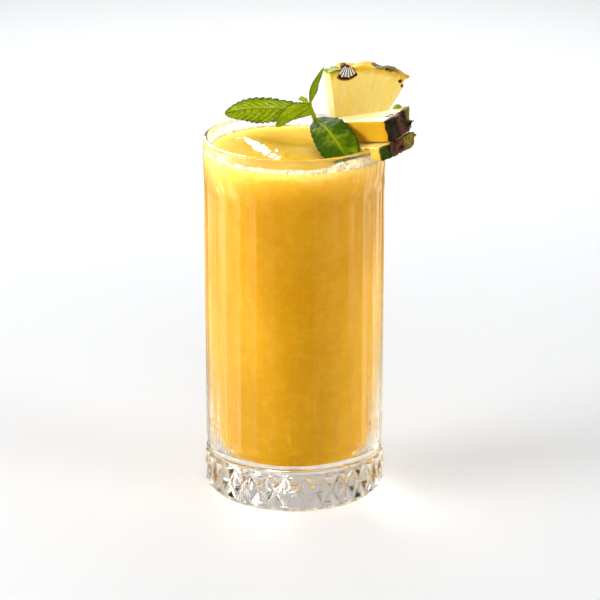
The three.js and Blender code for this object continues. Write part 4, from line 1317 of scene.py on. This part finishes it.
def studio_world():
    """White to the camera; to the object bright at the back, with a warm glow low at both sides."""
    world = bpy.data.worlds.new("studio")
    world.use_nodes = True
    world.node_tree.nodes.clear()
    g = Graph(world.node_tree)
    direction = g.add("ShaderNodeTexCoord").outputs["Generated"]
    x, y, z = g.parts(direction)
    level = g.math("SQRT", g.math("ADD", g.math("MULTIPLY", x, x), g.math("MULTIPLY", y, y)))
    level = g.math("MAXIMUM", level, 0.001)
    aside, back = g.math("DIVIDE", x, level), g.math("DIVIDE", y, level)
    glow = None
    for middle, half, strength in GLOW:
        angle, reach = math.radians(middle), math.radians(half)
        towards = g.math("MULTIPLY", back, -math.cos(angle))
        towards = g.math("ADD", g.math("MULTIPLY", aside, math.sin(angle)), towards)
        shine = g.ramp(math.cos(reach * 1.25), math.cos(reach * 0.75), towards)
        patch = g.math("MULTIPLY", shine, strength)
        glow = g.math("ADD", glow, patch) if glow else patch
    patches = g.noise(direction, GLOW_PATCHES, 3, 0.7)
    glow = g.math("MULTIPLY", glow, g.ramp(0.35, 0.65, patches, smooth=False, to=GLOW_SPREAD))
    upper = g.ramp(-0.5, 0.7, back, to=(FRONT_LEVEL, BACK_LEVEL))
    risen = g.ramp(-0.02, 0.02, z)
    tint = g.mix(risen, GLOW_TINT, (1.0, 1.0, 1.0))
    soft = g.add("ShaderNodeBackground", {"Color": tint, "Strength": g.blend(risen, glow, upper)})
    white = g.add("ShaderNodeBackground", {"Color": (1, 1, 1, 1), "Strength": 1.05})
    camera = g.add("ShaderNodeLightPath").outputs["Is Camera Ray"]
    shown = g.add("ShaderNodeMixShader", {0: camera, 1: soft.outputs[0], 2: white.outputs[0]})
    g.add("ShaderNodeOutputWorld", {"Surface": shown.outputs[0]})
    return world


class SMOOTHIE_OT_stage(bpy.types.Operator):
    """Makes the floor, the soft studio light and the camera"""

    bl_idname = "smoothie.stage"
    bl_label = "Stage"

    def execute(self, context):
        scene = context.scene
        half = FLOOR_SIDE / 2
        corners = [(x * half, y * half, FLOOR_HEIGHT) for x, y in ((-1, -1), (1, -1), (1, 1), (-1, 1))]
        floor = new_object("floor", corners, [(0, 1, 2, 3)], False)
        material, graph, shader, _ = new_material("studio_floor")
        tone = graph.mix(graph.noise(object_place(graph), 3, 2), *FLOOR_TONES)
        graph.feed(shader, {"Base Color": tone, "Roughness": 0.9, "Specular IOR Level": 0})
        floor.data.materials.append(material)
        floor.visible_glossy = False
        scene.world = studio_world()
        for name, (azimuth, rise, side, power) in LAMPS.items():
            turn, lift = math.radians(azimuth), math.radians(rise)
            way = (math.sin(turn) * math.cos(lift), -math.cos(turn) * math.cos(lift), math.sin(lift))
            place = Vector(way) * LAMP_DISTANCE + Vector(LAMP_AIM)
            lamp(name, place, LAMP_AIM, (side, side), power, ("glossy",))
        for name, settings in BACK_LAMPS.items():
            lamp(name, *settings)
        camera = bpy.data.cameras.new("camera")
        camera.sensor_width = CAMERA_SENSOR
        camera.lens = CAMERA_FOCAL_PIXELS * CAMERA_SENSOR / IMAGE_SIDE
        camera.clip_start, camera.clip_end = CAMERA_CLIP
        scene.camera = aimed("camera", camera, CAMERA_PLACE, CAMERA_TARGET)
        scene.view_settings.view_transform = "Standard"
        return {"FINISHED"}


class SMOOTHIE_PT_panel(bpy.types.Panel):
    """Lists the operators and the settings that they read"""

    bl_idname = "SMOOTHIE_PT_panel"
    bl_label = "Mango Smoothie"
    bl_space_type = "VIEW_3D"
    bl_region_type = "UI"
    bl_category = "Smoothie"

    def draw(self, context):
        for operator in OPERATORS:
            self.layout.operator(operator.bl_idname)
        for key, group in SETTINGS.items():
            box = self.layout.box()
            for name in group.__annotations__:
                box.prop(getattr(context.scene, key), name)


SETTINGS = {
    "smoothie_tumbler": TumblerSettings,
    "smoothie_drink": DrinkSettings,
    "smoothie_fruit": FruitSettings,
}
OPERATORS = (
    SMOOTHIE_OT_stage, SMOOTHIE_OT_tumbler, SMOOTHIE_OT_smoothie, SMOOTHIE_OT_froth,
    SMOOTHIE_OT_pineapple, SMOOTHIE_OT_mint,
)
CLASSES = (*SETTINGS.values(), *OPERATORS, SMOOTHIE_PT_panel)


def register():
    for made in CLASSES:
        bpy.utils.register_class(made)
    for key, group in SETTINGS.items():
        setattr(bpy.types.Scene, key, PointerProperty(type=group))


def unregister():
    for key in SETTINGS:
        delattr(bpy.types.Scene, key)
    for made in reversed(CLASSES):
        bpy.utils.unregister_class(made)


def main():
    register()
    bpy.ops.smoothie.stage()
    bpy.ops.smoothie.tumbler()
    bpy.ops.smoothie.smoothie()
    bpy.ops.smoothie.froth()
    bpy.ops.smoothie.pineapple()
    bpy.ops.smoothie.mint()


if __name__ == "__main__":
    main()
